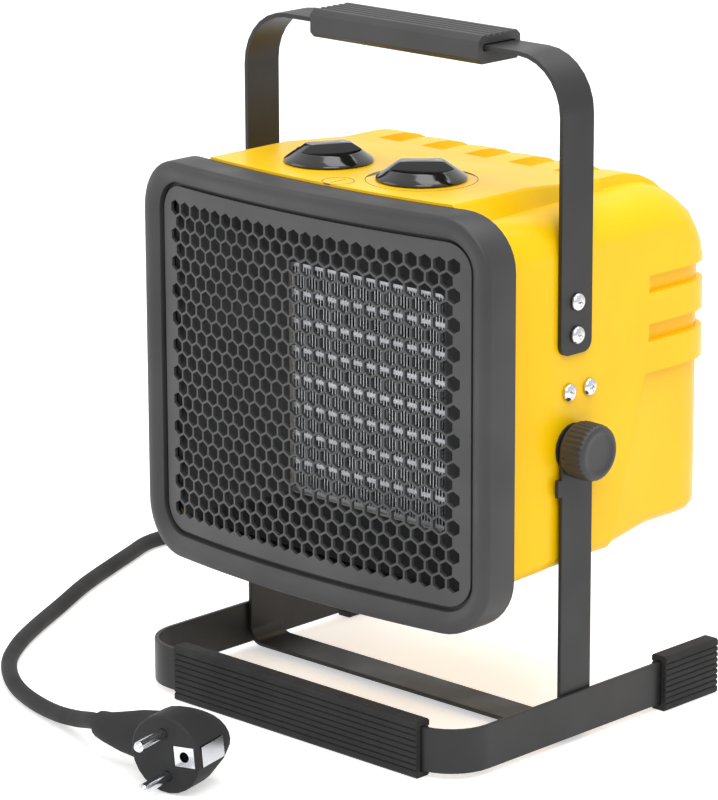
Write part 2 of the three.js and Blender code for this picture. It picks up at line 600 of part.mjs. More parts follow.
function recessCutters() {
  const beyond = PAD_HALF_WIDTH + CUT_REACH;
  const [end, low] = [behind(HOUSING_DEPTH + CUT_REACH), above(UNDERSIDE_Z - CUT_REACH)];
  const lower = prismX([
    [behind(PAD_REAR_TOP), above(SLOT_TOP_Z - 2 * SLOT_PITCH)],
    [end, above(SLOT_TOP_Z - 2 * SLOT_PITCH)],
    [end, low],
    [behind(PAD_REAR_BOTTOM - 2), low],
    [behind(PAD_REAR_BOTTOM), above(UNDERSIDE_Z + UNDERSIDE_RADIUS)],
  ], -beyond, beyond);
  const slots = [0, 1].flatMap((row) => SIDES.map(([, sign]) => box(
    ...span(sign, PAD_HALF_WIDTH - REAR_SIDE_RADIUS - 1, beyond), behind(SLOT_START), end,
    above(SLOT_TOP_Z - row * SLOT_PITCH - SLOT_HEIGHT), above(SLOT_TOP_Z - row * SLOT_PITCH))));
  return join(lower, ...slots);
}

const DIAL_Y = behind(DIAL_BEHIND_GRILLE);
const DIAL_BASE_Z = above(PLATEAU_Z) + SEAT_GAP;
const SWITCH_TOP_Z = above(PLATEAU_Z - WALL) - SEAT_GAP;
const DIALS = [['selector', -DIAL_SPACING / 2, SELECTOR_REST_ANGLE],
  ['thermostat', DIAL_SPACING / 2, THERMOSTAT_REST_ANGLE]];
const SIDE_SCREWS = SIDE_SCREW_OFFSETS.map((offset) => [PIVOT_Y + offset, PIVOT_Z + SIDE_SCREW_RISE]);
const HANDLE_SCREWS = HANDLE_SCREW_Z.map((z) => [PIVOT_Y, z]);
const INTAKE_SCREWS = SIDES.flatMap(([, sign]) => [
  INTAKE_LOW_Z + INTAKE_SCREW_INSET, INTAKE_HIGH_Z - INTAKE_SCREW_INSET,
].map((z) => [sign * (INTAKE_HALF_WIDTH + INTAKE_LEDGE / 2), above(z)]));
const intakeOutline = (grow, radius) => ring({
  half: INTAKE_HALF_WIDTH + grow,
  top: above(INTAKE_HIGH_Z + grow),
  bottom: above(INTAKE_LOW_Z - grow),
  upper: radius,
  lower: radius,
});

function housingShell() {
  const recesses = cut(recessCutters(), housingBody(RECESS_DEPTH, UNDERSIDE_RECESS));
  const outer = join(cut(housingBody(0, 0), recesses), crown());
  const roomHalf = PLATEAU_HALF_WIDTH - CROWN_EDGE - WALL;
  const roomLow = above(SHOULDER_Z - 2 * CUT_REACH);
  const crownRoom = prismX([[behind(LIP_END), roomLow], [behind(LIP_END), above(PLATEAU_Z - WALL)],
    [behind(PLATEAU_END), above(PLATEAU_Z - WALL)], [behind(RIDGE_START), above(RIDGE_Z - WALL)],
    [behind(RIDGE_START), roomLow]], -roomHalf, roomHalf);
  const sideHoles = [...SIDE_SCREWS, ...HANDLE_SCREWS].map(([y, z]) => rodX(
    y, z, SCREW_RADIUS + HOLE_GAP, -PAD_HALF_WIDTH - 1, PAD_HALF_WIDTH + 1, 12));
  const dialHoles = DIALS.map(([, x]) => rodZ(
    x, DIAL_Y, DIAL_SHAFT_RADIUS + HOLE_GAP, SWITCH_TOP_Z - CUT_REACH, DIAL_BASE_Z + CUT_REACH));
  const intakeHoles = INTAKE_SCREWS.map(([x, z]) => rodY(
    x, z, INTAKE_SCREW_RADIUS + SHAFT_GAP, behind(CAVITY_END - 1), REAR_Y, 8));
  return cut(outer, housingCavity(), crownRoom, bezelRoom(), ...sideHoles, ...dialHoles,
    rodX(PIVOT_Y, PIVOT_Z, STUD_RADIUS + HOLE_GAP, -PAD_HALF_WIDTH - 1, PAD_HALF_WIDTH + 1),
    rodY(GLAND_X, PIVOT_Z, GLAND_RADIUS + SEAT_GAP, behind(CAVITY_END - 1), REAR_Y + 1),
    prismY(intakeOutline(0, INTAKE_CORNER), behind(CAVITY_END - 1), REAR_Y + 1),
    prismY(intakeOutline(INTAKE_LEDGE, INTAKE_CORNER + INTAKE_LEDGE),
      REAR_Y - INTAKE_RECESS, REAR_Y + 1),
    ...intakeHoles);
}

// ---------------------------------------------------------------- rear grille
const REAR_GRILLE_Y = REAR_Y - INTAKE_RECESS + SEAT_GAP;

function rearGrille() {
  const slotPitch = (INTAKE_HIGH_Z - INTAKE_LOW_Z) / INTAKE_SLOTS;
  const [front, rear] = [REAR_GRILLE_Y - 1, REAR_GRILLE_Y + INTAKE_THICKNESS + 1];
  const slots = Array.from({ length: INTAKE_SLOTS }, (_, i) => {
    const z = above(INTAKE_LOW_Z + (i + 0.5) * slotPitch);
    return SIDES.map(([, sign]) => box(...span(sign, INTAKE_RIB / 2, INTAKE_HALF_WIDTH - 2),
      front, rear, z - INTAKE_SLOT_HEIGHT / 2, z + INTAKE_SLOT_HEIGHT / 2));
  }).flat();
  const screws = INTAKE_SCREWS.map(([x, z]) => rodY(
    x, z, INTAKE_SCREW_RADIUS + SHAFT_GAP, front, rear, 8));
  const rim = INTAKE_LEDGE - SEAT_GAP;
  return cut(prismY(intakeOutline(rim, INTAKE_CORNER + rim), REAR_GRILLE_Y,
    REAR_GRILLE_Y + INTAKE_THICKNESS), ...slots, ...screws);
}

function intakeScrew(x, z) {
  const head = REAR_GRILLE_Y + INTAKE_THICKNESS + SEAT_GAP;
  return join(rodY(x, z, INTAKE_SCREW_RADIUS, behind(CAVITY_END), head + 0.5, 8),
    rodY(x, z, INTAKE_HEAD_RADIUS, head, REAR_Y - SEAT_GAP, 12));
}

// ---------------------------------------------------------------- duct, element, fan
const ELEMENT_MIDDLE = (ELEMENT_LOW_Z + ELEMENT_HIGH_Z) / 2;
const FAN_Z = above(ELEMENT_MIDDLE);
const FLANGE_Y = behind(BEZEL_DEPTH - BEZEL_PROUD) + 2 * SEAT_GAP;

const ductRing = (distance, wall) => (distance === DUCT_FRONT
  ? ring({
    half: DUCT_FRONT_HALF_WIDTH + wall,
    top: above(DUCT_FRONT_HALF_HEIGHT + wall),
    bottom: above(-DUCT_FRONT_HALF_HEIGHT - wall),
    upper: DUCT_FRONT_CORNER + wall,
    lower: DUCT_FRONT_CORNER + wall,
  })
  : ring({
    half: ELEMENT_HALF_WIDTH + wall,
    top: above(ELEMENT_HIGH_Z + wall),
    bottom: above(ELEMENT_LOW_Z - wall),
    upper: DUCT_REAR_CORNER + wall,
    lower: DUCT_REAR_CORNER + wall,
  }));
const ductLoft = (wall) => loft([DUCT_FRONT, ELEMENT_FRONT].map(
  (distance) => [behind(distance), ductRing(distance, wall)]));

function airDuct() {
  const gap = WALL + SEAT_GAP;
  const flange = prismY(ring({
    half: LIP_HALF_WIDTH - gap,
    top: above(SHOULDER_Z - gap),
    bottom: above(UNDERSIDE_NECK_Z + gap),
    upper: SHOULDER_RADIUS - WALL,
    lower: LIP_RADIUS - WALL,
  }), FLANGE_Y, FLANGE_Y + DUCT_WALL);
  return cut(join(ductLoft(DUCT_WALL), flange), ductLoft(0));
}

const FRAME_FRONT = behind(ELEMENT_FRONT) + SEAT_GAP;
const FRAME_REAR = FRAME_FRONT + ELEMENT_DEPTH;

function elementFrame() {
  const outline = (grow) => rectangle(-ELEMENT_HALF_WIDTH - grow, ELEMENT_HALF_WIDTH + grow,
    above(ELEMENT_LOW_Z - grow), above(ELEMENT_HIGH_Z + grow));
  const posts = SIDES.flatMap(([, sign]) => [ELEMENT_LOW_Z - FRAME_WALL, ELEMENT_HIGH_Z].map(
    (z) => box(...span(sign, ELEMENT_HALF_WIDTH, ELEMENT_HALF_WIDTH + FRAME_WALL), FRAME_REAR - 1,
      behind(BAFFLE_FRONT) - SEAT_GAP, above(z) + 0.5, above(z + FRAME_WALL) - 0.5)));
  return join(prismY(outline(FRAME_WALL), FRAME_FRONT, FRAME_REAR, [outline(SEAT_GAP)]), ...posts);
}

function heatingElement() {
  const pitch = (ELEMENT_HIGH_Z - ELEMENT_LOW_Z - BAR_HEIGHT) / (ELEMENT_BARS - 1);
  const bars = Array.from({ length: ELEMENT_BARS }, (_, i) => {
    const z = above(ELEMENT_LOW_Z + i * pitch);
    return box(-ELEMENT_HALF_WIDTH, ELEMENT_HALF_WIDTH, FRAME_FRONT + 1, FRAME_REAR - 1, z, z + BAR_HEIGHT);
  });
  const reach = ELEMENT_HALF_WIDTH - FIN_THICKNESS;
  const fins = evenly(ELEMENT_FINS, -reach, reach).map((x) => box(
    x - FIN_THICKNESS / 2, x + FIN_THICKNESS / 2, FRAME_FRONT + 1, FRAME_REAR - 1,
    above(ELEMENT_LOW_Z + BAR_HEIGHT / 2), above(ELEMENT_HIGH_Z - BAR_HEIGHT / 2)));
  return join(...bars, ...fins);
}

const BAFFLE_REAR = BAFFLE_FRONT + BAFFLE_THICKNESS;

const fanBaffle = () => prismY(ring({
  half: PAD_HALF_WIDTH - WALL - SEAT_GAP,
  top: above(SHOULDER_Z - WALL - SEAT_GAP),
  bottom: above(UNDERSIDE_Z + WALL + SEAT_GAP),
  upper: SHOULDER_RADIUS - WALL,
  lower: UNDERSIDE_RADIUS - WALL,
}), behind(BAFFLE_FRONT), behind(BAFFLE_REAR), [circle(0, FAN_Z, FAN_RADIUS + FAN_TIP_GAP, 36)]);

const FAN_FRONT = BAFFLE_FRONT - FAN_AHEAD;
const FAN_REAR = FAN_FRONT + FAN_DEPTH;
const BRACKET_FRONT = FAN_REAR + 1.5;
const MOTOR_FRONT = BRACKET_FRONT + BRACKET_THICKNESS + SEAT_GAP;
const SHAFT_ROOT = 10;           // length of the shaft inside the motor

function fanWheel() {
  const middle = behind(FAN_FRONT + FAN_DEPTH / 2);
  const chord = FAN_DEPTH * 0.8;
  const blades = Array.from({ length: FAN_BLADES }, (_, i) => solidOf(
    new THREE.BoxGeometry(FAN_RADIUS - FAN_HUB_RADIUS + 2, BLADE_THICKNESS, chord)
      .translate((FAN_RADIUS + FAN_HUB_RADIUS) / 2 - 2, 0, 0)
      .rotateX(radians(90 - BLADE_PITCH))
      .rotateY((2 * Math.PI * i) / FAN_BLADES)
      .translate(0, middle, FAN_Z)));
  const hub = rodY(0, FAN_Z, FAN_HUB_RADIUS, behind(FAN_FRONT), behind(FAN_REAR), 28);
  return cut(join(hub, ...blades),
    rodY(0, FAN_Z, MOTOR_SHAFT_RADIUS + SHAFT_GAP, behind(FAN_FRONT) - 1, behind(FAN_REAR) + 1, 12));
}

const motorShaft = () => rodY(0, FAN_Z, MOTOR_SHAFT_RADIUS,
  behind(FAN_FRONT), behind(MOTOR_FRONT + SHAFT_ROOT), 12);

function fanMotor() {
  const [radius, length] = [MOTOR_RADIUS, MOTOR_LENGTH];
  const can = turned([[0, 0], [radius * 0.8, 0], [radius * 0.8, 3], [radius, 3],
    [radius, length - 3], [radius * 0.8, length - 3], [radius * 0.8, length], [0, length]],
  0, behind(MOTOR_FRONT), FAN_Z, 'y', 24);
  return cut(can, rodY(0, FAN_Z, MOTOR_SHAFT_RADIUS + SHAFT_GAP,
    behind(MOTOR_FRONT) - 1, behind(MOTOR_FRONT + SHAFT_ROOT) + SEAT_GAP, 12));
}

function motorBracket() {
  const [front, rear] = [behind(BRACKET_FRONT), behind(BRACKET_FRONT + BRACKET_THICKNESS)];
  const corners = [45, 135, 225, 315].map((angle) => [
    BRACKET_REACH * Math.cos(radians(angle)), FAN_Z + BRACKET_REACH * Math.sin(radians(angle))]);
  const half = BRACKET_ARM / 2 / Math.SQRT2;
  const arms = [0, 1].map((i) => {
    const [[x0, z0], [x1, z1]] = [corners[i], corners[i + 2]];
    const [dx, dz] = i === 0 ? [half, -half] : [half, half];
    return prismY([[x0 + dx, z0 + dz], [x1 + dx, z1 + dz], [x1 - dx, z1 - dz], [x0 - dx, z0 - dz]],
      front, rear);
  });
  const posts = corners.map(([x, z]) => rodY(
    x, z, BRACKET_POST_RADIUS, behind(BAFFLE_REAR) + SEAT_GAP, rear, 8));
  const boss = rodY(0, FAN_Z, MOTOR_RADIUS, front, rear, 24);
  return cut(join(...arms, boss, ...posts), rodY(0, FAN_Z, BRACKET_EYE, front - 1, rear + 1, 16));
}

const thermalCutout = () => rodY(BRACKET_REACH, above(ELEMENT_HIGH_Z + CUTOUT_RISE), CUTOUT_RADIUS,
  behind(BAFFLE_FRONT) - SEAT_GAP - CUTOUT_HEIGHT, behind(BAFFLE_FRONT) - SEAT_GAP);
const TERMINAL_X = TERMINAL_INSET + WALL - PAD_HALF_WIDTH;
const terminalBlock = () => box(TERMINAL_X, TERMINAL_X + TERMINAL_SIZE,
  behind(BAFFLE_REAR) + SEAT_GAP, behind(BAFFLE_REAR) + SEAT_GAP + TERMINAL_DEPTH,
  PIVOT_Z - TERMINAL_SIZE / 2, PIVOT_Z + TERMINAL_SIZE / 2);

// ---------------------------------------------------------------- dials and switches
// Built round its own shaft, with the grip bar along X.
function dialKnob() {
  const cone = turned([[0, 0], [DIAL_RADIUS, 0], [DIAL_RADIUS, DIAL_SKIRT],
    [DIAL_TOP_RADIUS, DIAL_HEIGHT], [0, DIAL_HEIGHT]], 0, 0, 0, 'z', 32);
  const start = (Math.asin(DIAL_GRIP_WIDTH / 2 / DIAL_RIM_RADIUS) * 180) / Math.PI;
  const scoops = SIDES.map(([, sign]) => prismZ(
    arc(0, 0, DIAL_RIM_RADIUS, start, 180 - start, 12).map(([x, y]) => [x, sign * y]),
    DIAL_SCOOP_FLOOR, DIAL_HEIGHT + 1));
  return cut(cone, ...scoops,
    rodZ(0, 0, DIAL_SHAFT_RADIUS + SHAFT_GAP, -1, DIAL_BORE_DEPTH, 20));
}
const SHAFT_END_Z = DIAL_BASE_Z - SWITCH_HEIGHT / 2;
const dialShaft = () => rodZ(0, 0, DIAL_SHAFT_RADIUS,
  SHAFT_END_Z - DIAL_BASE_Z, DIAL_BORE_DEPTH - SEAT_GAP, 20);
const shaftBore = (x) => rodZ(x, DIAL_Y, DIAL_SHAFT_RADIUS + SHAFT_GAP,
  SHAFT_END_Z - SEAT_GAP, SWITCH_TOP_Z + 1, 20);
const selectorSwitch = (x) => cut(box(x - SWITCH_HALF, x + SWITCH_HALF, DIAL_Y - SWITCH_HALF,
  DIAL_Y + SWITCH_HALF, SWITCH_TOP_Z - SWITCH_HEIGHT, SWITCH_TOP_Z), shaftBore(x));
const thermostatBody = (x) => cut(join(
  rodZ(x, DIAL_Y, SWITCH_HALF, SWITCH_TOP_Z - SWITCH_HEIGHT * 0.6, SWITCH_TOP_Z, 28),
  box(x - SWITCH_HALF * 0.7, x + SWITCH_HALF * 0.7, DIAL_Y - SWITCH_HALF * 1.3,
    DIAL_Y + SWITCH_HALF * 1.3, SWITCH_TOP_Z - SWITCH_HEIGHT, SWITCH_TOP_Z - SWITCH_HEIGHT * 0.5)),
shaftBore(x));

// ---------------------------------------------------------------- side fittings
const PLATE_OUT = PAD_HALF_WIDTH - WALL - SEAT_GAP;
const PLATE_IN = PLATE_OUT - SIDE_PLATE_THICKNESS;
const NUT_OUT = PLATE_IN - SEAT_GAP;
const NUT_THICKNESS = 5;
const NUT_RADIUS = 5.8;
const WASHER_IN = PAD_HALF_WIDTH + SEAT_GAP;
const WASHER_OUT = WASHER_IN + WASHER_THICKNESS;
const WASHER_RADIUS = 11;
const KNOB_IN = SUPPORT_HALF_WIDTH + SEAT_GAP;
const KNOB_OUT = KNOB_IN + KNOB_HEIGHT;
const STUD_IN_KNOB = 9;
const studHole = (radius, from, to) => rodX(PIVOT_Y, PIVOT_Z, radius, from, to);

function sidePlate(sign) {
  const [y0, y1] = [PIVOT_Y - 8.5, behind(BAFFLE_FRONT) - SEAT_GAP];
  const holes = [...SIDE_SCREWS, ...HANDLE_SCREWS].map(
    ([y, z]) => circle(y, z, SCREW_RADIUS + SHAFT_GAP, 12));
  return prismX(rectangle(y0, y1, PIVOT_Z - 12, HANDLE_SCREW_Z[0] + 6),
    ...span(sign, PLATE_IN, PLATE_OUT), [...holes, circle(PIVOT_Y, PIVOT_Z, STUD_RADIUS + HOLE_GAP)]);
}

const pivotNut = (sign) => cut(
  prismX(circle(PIVOT_Y, PIVOT_Z, NUT_RADIUS, 6), ...span(sign, NUT_OUT - NUT_THICKNESS, NUT_OUT)),
  studHole(STUD_RADIUS + SHAFT_GAP, -PAD_HALF_WIDTH, PAD_HALF_WIDTH));
const frictionWasher = (sign) => prismX(circle(PIVOT_Y, PIVOT_Z, WASHER_RADIUS, 20),
  ...span(sign, WASHER_IN, WASHER_OUT), [circle(PIVOT_Y, PIVOT_Z, STUD_RADIUS + HOLE_GAP)]);
const clampStud = (sign) => studHole(
  STUD_RADIUS, ...span(sign, NUT_OUT - NUT_THICKNESS - 1, KNOB_IN + STUD_IN_KNOB - SEAT_GAP));

function clampKnob(sign) {
  const flutes = Array.from({ length: KNOB_FLUTES }, (_, i) => [0, 0.3, 0.5, 0.8].map((share, j) => {
    const angle = (2 * Math.PI * (i + share)) / KNOB_FLUTES;
    const radius = KNOB_RADIUS - (j > 1 ? KNOB_FLUTE_DEPTH : 0);
    return [PIVOT_Y + radius * Math.cos(angle), PIVOT_Z + radius * Math.sin(angle)];
  })).flat();
  const axis = sign > 0 ? 'x' : '-x';
  const rim = KNOB_RADIUS - KNOB_FLUTE_DEPTH;
  const cap = turned([[0, 0], [rim, 0], [rim, KNOB_HEIGHT - 1.4], [rim - 1.4, KNOB_HEIGHT],
    [0, KNOB_HEIGHT]], sign * KNOB_IN, PIVOT_Y, PIVOT_Z, axis, 20);
  const grip = prismX(flutes, ...span(sign, KNOB_IN + 1.2, KNOB_OUT - 2));
  return cut(join(cap, grip), studHole(
    STUD_RADIUS + SHAFT_GAP, ...span(sign, KNOB_IN - 1, KNOB_IN + STUD_IN_KNOB)));
}

function sideScrew(sign, [y, z], seat) {
  const axis = sign > 0 ? 'x' : '-x';
  const head = seat + SEAT_GAP;
  const radius = SCREW_HEAD_RADIUS;
  return turned([[0, PLATE_IN - 3 - head], [SCREW_RADIUS, PLATE_IN - 3 - head], [SCREW_RADIUS, 0],
    [radius, 0], [radius, SCREW_HEAD_HEIGHT / 3], [radius * 0.6, SCREW_HEAD_HEIGHT],
    [0, SCREW_HEAD_HEIGHT]], sign * head, y, z, axis, 12);
}

// ---------------------------------------------------------------- handle
const STRAP_Y = [PIVOT_Y - STRAP_WIDTH / 2, PIVOT_Y + STRAP_WIDTH / 2];

// What rounds off a corner at [y, z]; the signs point from the corner into the strap.
function cornerCutter(y, z, radius, dy, dz) {
  const reach = HANDLE_HALF_WIDTH + 10;
  const curve = evenly(6, 0, 90).map((a) => [y + dy * radius * (1 - Math.sin(radians(a))),
    z + dz * radius * (1 - Math.cos(radians(a)))]);
  return prismX([[y - dy, z - dz], [y + dy * radius, z - dz], ...curve, [y - dy, z + dz * radius]],
    -reach, reach);
}

// The strip's outline in X and Z: legs from `end`, bends of radius `bend` and a bar at `bar`.
function uOutline(half, end, bar, bend) {
  const up = Math.sign(bar - end);
  const corner = (x, z, radius, inset) => evenly(8, 0, 90).map((a) => [
    x - radius + radius * Math.cos(radians(a)), z - up * (inset + radius - radius * Math.sin(radians(a)))]);
  const outer = corner(half, bar, bend, 0);
  const inner = corner(half - STRAP_THICKNESS, bar, bend - STRAP_THICKNESS, STRAP_THICKNESS);
  const mirrored = (points) => points.map(([x, z]) => [-x, z]).reverse();
  return [[half, end], ...outer, ...mirrored(outer), [-half, end],
    [STRAP_THICKNESS - half, end], ...mirrored(inner).reverse(), ...inner.reverse(),
    [half - STRAP_THICKNESS, end]];
}

function handleStrap() {
  const reach = HANDLE_HALF_WIDTH + 1;
  const holes = HANDLE_SCREWS.map(([y, z]) => rodX(y, z, SCREW_RADIUS + HOLE_GAP, -reach, reach, 12));
  const corners = [1, -1].map((dy) => cornerCutter(
    STRAP_Y[dy > 0 ? 0 : 1], HANDLE_END_Z, HANDLE_END_CORNER, dy, 1));
  return cut(prismY(uOutline(HANDLE_HALF_WIDTH, HANDLE_END_Z, HANDLE_TOP_Z, HANDLE_BEND), ...STRAP_Y),
    ...holes, ...corners);
}

function handleGrip() {
  const half = GRIP_WIDTH / 2;
  const [y0, y1] = [PIVOT_Y - half, PIVOT_Y + half];
  const c = GRIP_CHAMFER;
  const pitch = (GRIP_WIDTH - 2 * c) / GRIP_RIBS;
  const ribs = Array.from({ length: GRIP_RIBS }, (_, i) => {
    const y = y1 - c - i * pitch;
    return [[y, GRIP_HIGH_Z - (i === 0 ? 0.2 : RIB_DEPTH)], [y - pitch * 0.25, GRIP_HIGH_Z],
      [y - pitch * 0.75, GRIP_HIGH_Z]];
  }).flat();
  const slot = rectangle(STRAP_Y[0] - SEAT_GAP, STRAP_Y[1] + SEAT_GAP,
    HANDLE_TOP_Z - STRAP_THICKNESS - SEAT_GAP, HANDLE_TOP_Z + SEAT_GAP);
  return prismX([[y0 + c, GRIP_LOW_Z], [y1 - c, GRIP_LOW_Z], [y1, GRIP_LOW_Z + c], [y1, GRIP_HIGH_Z - c],
    ...ribs, [y0 + c, GRIP_HIGH_Z - 0.2], [y0, GRIP_HIGH_Z - c], [y0, GRIP_LOW_Z + c]],
  -GRIP_LENGTH / 2, GRIP_LENGTH / 2, [slot]);
}

// ---------------------------------------------------------------- stand
const STRAP_LOW = RUBBER_WALL;
const STRAP_HIGH = STRAP_LOW + STRAP_WIDTH;
const BASE_HALF = SUPPORT_HALF_WIDTH + SEAT_GAP + STRAP_THICKNESS;
const BASE_FRONT = FRONT_Y + RUBBER_WALL + SEAT_GAP;
const BASE_REAR = BASE_FRONT + BASE_FRONT_TO_REAR;

function baseStrap() {
  const outline = (half, front, radius) => [
    ...arc(-half + radius, front + radius, radius, 180, 270, 8),
    ...arc(half - radius, front + radius, radius, 270, 360, 8)];
  const outer = outline(BASE_HALF, BASE_FRONT, BASE_BEND);
  const inner = outline(BASE_HALF - STRAP_THICKNESS, BASE_FRONT + STRAP_THICKNESS,
    BASE_BEND - STRAP_THICKNESS);
  return prismZ([[-BASE_HALF, BASE_REAR], ...outer, [BASE_HALF, BASE_REAR],
    [BASE_HALF - STRAP_THICKNESS, BASE_REAR], ...inner.reverse(),
    [STRAP_THICKNESS - BASE_HALF, BASE_REAR]], STRAP_LOW, STRAP_HIGH);
}

function supportStrap() {
  const half = SUPPORT_HALF_WIDTH;
  const top = PIVOT_Z + STRAP_WIDTH / 2;
  const tabZ = PIVOT_Z - TAB_DROP;
  const tabs = SIDES.map(([, sign]) => box(...span(sign, half - STRAP_THICKNESS, half),
    STRAP_Y[0] - TAB_REACH, STRAP_Y[0] + 1, tabZ - TAB_HEIGHT / 2, tabZ + TAB_HEIGHT / 2));
  const corners = [1, -1].map((dy) => cornerCutter(
    STRAP_Y[dy > 0 ? 0 : 1], top, STRAP_WIDTH / 2, dy, -1));
  return cut(join(prismY(uOutline(half, top, STRAP_LOW, SUPPORT_BEND), ...STRAP_Y), ...tabs),
    ...corners, studHole(STUD_RADIUS + SEAT_GAP, -half - 1, half + 1));
}

// A rubber section round an upright strip: [across, height], ribbed lengthwise on its flat sides.
function rubberSection(across0, across1, height) {
  const groove = (x, dx, low, high) => {
    const pitch = (high - low) / SLEEVE_RIBS;
    return Array.from({ length: SLEEVE_RIBS - 1 }, (_, i) => {
      const z = low + (i + 1) * pitch;
      return [[x, z - pitch * 0.2], [x + dx, z], [x, z + pitch * 0.2]];
    }).flat();
  };
  const c = 1;
  return [[across0 + c, 0], [across1 - c, 0], [across1, c],
    ...groove(across1, -RIB_DEPTH, c, height - c), [across1, height - c],
    [across1 - c, height], [across0 + c, height], [across0, height - c],
    ...groove(across0, RIB_DEPTH, c, height - c).reverse(), [across0, c]];
}
const RUBBER_HEIGHT = STRAP_WIDTH + 2 * RUBBER_WALL;
const pocket = (a, b) => rectangle(
  a - SEAT_GAP, b + SEAT_GAP, STRAP_LOW - SEAT_GAP, STRAP_HIGH + SEAT_GAP);

const frontSleeve = () => prismX(
  rubberSection(FRONT_Y, BASE_FRONT + STRAP_THICKNESS + SEAT_GAP + RUBBER_WALL, RUBBER_HEIGHT),
  SLEEVE_SHIFT - SLEEVE_LENGTH / 2, SLEEVE_SHIFT + SLEEVE_LENGTH / 2,
  [pocket(BASE_FRONT, BASE_FRONT + STRAP_THICKNESS)]);

function rearFoot(sign) {
  const [inner, outer] = span(sign, BASE_HALF - STRAP_THICKNESS, BASE_HALF);
  const wall = RUBBER_WALL + SEAT_GAP;
  const start = BASE_REAR - FOOT_OVERLAP;
  return cut(prismY(rubberSection(inner - wall, outer + wall, RUBBER_HEIGHT), start, start + FOOT_LENGTH),
    prismY(pocket(inner, outer), start - 1, BASE_REAR + SEAT_GAP));
}

// ---------------------------------------------------------------- cord and plug
const routeOf = (points) => new THREE.CatmullRomCurve3(
  points.map(([x, y, z]) => new THREE.Vector3(x, y, z)), false, 'centripetal');

function freeCord(points) {
  const path = routeOf(points);
  const section = new THREE.Shape(circle(0, 0, CORD_DIAMETER / 2, CORD_SIDES)
    .map(([u, v]) => new THREE.Vector2(u, v)));
  const steps = Math.round(path.getLength() / (CORD_STEP * CORD_DIAMETER));
  return solidOf(new THREE.ExtrudeGeometry(section, {
    steps, bevelEnabled: false, extrudePath: path,
  }));
}

// The coil spirals in through the lower layer, climbs where it turns back, and spirals out above.
const COIL_PITCH = CORD_DIAMETER + COIL_GAP;
const coilRadius = (turn) => COIL_RADIUS - COIL_PITCH * Math.min(turn, COIL_TURNS - turn);
const coilRise = (turn) => COIL_PITCH
  * Math.min(Math.max(2 * (turn - COIL_TURNS / 2) + 0.5, 0), 1);

function coilPoints() {
  const [cx, cy, cz] = COIL_CENTRE;
  return evenly(COIL_TURNS * COIL_STEPS + 1, 0, COIL_TURNS).map((turn) => {
    const angle = radians(COIL_START + 360 * turn);
    const radius = coilRadius(turn);
    return [cx + radius * Math.cos(angle), cy + radius * Math.sin(angle), cz + coilRise(turn)];
  });
}

// Least clear distance between two turns, measured between the points of the centre line.
function coilSelfGap(points) {
  const near = COIL_STEPS / 2;
  let least = Infinity;
  points.forEach(([x0, y0, z0], i) => points.slice(i + near).forEach(([x1, y1, z1]) => {
    least = Math.min(least, Math.hypot(x1 - x0, y1 - y0, z1 - z0));
  }));
  return least - CORD_DIAMETER;
}

function cordCoil() {
  const turns = coilPoints();
  const straight = (angle, [x, y, z], sign) => [
    x - sign * Math.sin(angle) * CORD_DIAMETER, y + sign * Math.cos(angle) * CORD_DIAMETER, z];
  const first = radians(COIL_START);
  const last = radians(COIL_START + 360 * COIL_TURNS);
  const points = [straight(first, turns[0], -1), ...turns, straight(last, turns.at(-1), 1)];
  const outward = (i) => Math.min(Math.max(i - 1, 0), turns.length - 1) / COIL_STEPS;
  console.log(`least gap between the coil's turns: ${coilSelfGap(turns).toFixed(2)} mm`);
  return skin(points.map(([x, y, z], i) => {
    const angle = radians(COIL_START + 360 * outward(i));
    return circle(0, 0, CORD_DIAMETER / 2, COIL_SIDES).map(([u, v]) => [
      x + u * Math.cos(angle), y + u * Math.sin(angle), z + v]);
  }));
}

// A band round the coil's bundle of turns, in a frame whose x points out from the coil's centre.
function cordTie() {
  const turn = ((TIE_AT - COIL_START) / 360) % 1;
  const reach = CORD_DIAMETER / 2 + TIE_SLACK;
  const z = COIL_CENTRE[2];
  const turnsAcross = Math.floor(COIL_TURNS / 2);
  const [x0, x1] = [coilRadius(turn + turnsAcross) - reach, coilRadius(turn) + reach];
  const [z0, z1] = [z - reach, z + COIL_PITCH + reach];
  const wall = TIE_THICKNESS;
  return prismY(rectangle(x0 - wall, x1 + wall, z0 - wall, z1 + wall),
    -TIE_WIDTH / 2, TIE_WIDTH / 2, [rectangle(x0, x1, z0, z1)]);
}

const strainRelief = () => turned([[0, -REAR_WALL], [GLAND_RADIUS, -REAR_WALL],
  [GLAND_RADIUS, SEAT_GAP], [GLAND_COLLAR_RADIUS, SEAT_GAP],
  [GLAND_COLLAR_RADIUS, SEAT_GAP + GLAND_COLLAR], [GLAND_RADIUS, SEAT_GAP + GLAND_COLLAR],
  [GLAND_END_RADIUS, GLAND_LENGTH], [0, GLAND_LENGTH]], GLAND_X, REAR_Y, PIVOT_Z, 'y', 24);

// The plug is built with its pins along -Y, its face at Y = 0 and its cord leaving along -X.
const PLUG_RELIEF = [[-12, 18.5, 9, 12], [-24, 18.2, 7.8, 11.4], [-36, 18.9, 6.6, 9],
  [-44, 20.7, 6, 7.2], [-50, 23.3, 5.6, 6.25]];       // x, y, half-width, half-height

function plugRelief() {
  return skin(PLUG_RELIEF.map(([x, y, wide, high], i) => {
    const [x0, y0] = PLUG_RELIEF[Math.max(i - 1, 0)];
    const [x1, y1] = PLUG_RELIEF[Math.min(i + 1, PLUG_RELIEF.length - 1)];
    const length = Math.hypot(x1 - x0, y1 - y0);
    const [nx, ny] = [-(y1 - y0) / length, (x1 - x0) / length];
    return circle(0, 0, 1, 16).map(([u, v]) => [x + nx * u * wide, y + ny * u * wide, v * high]);
  }));
}

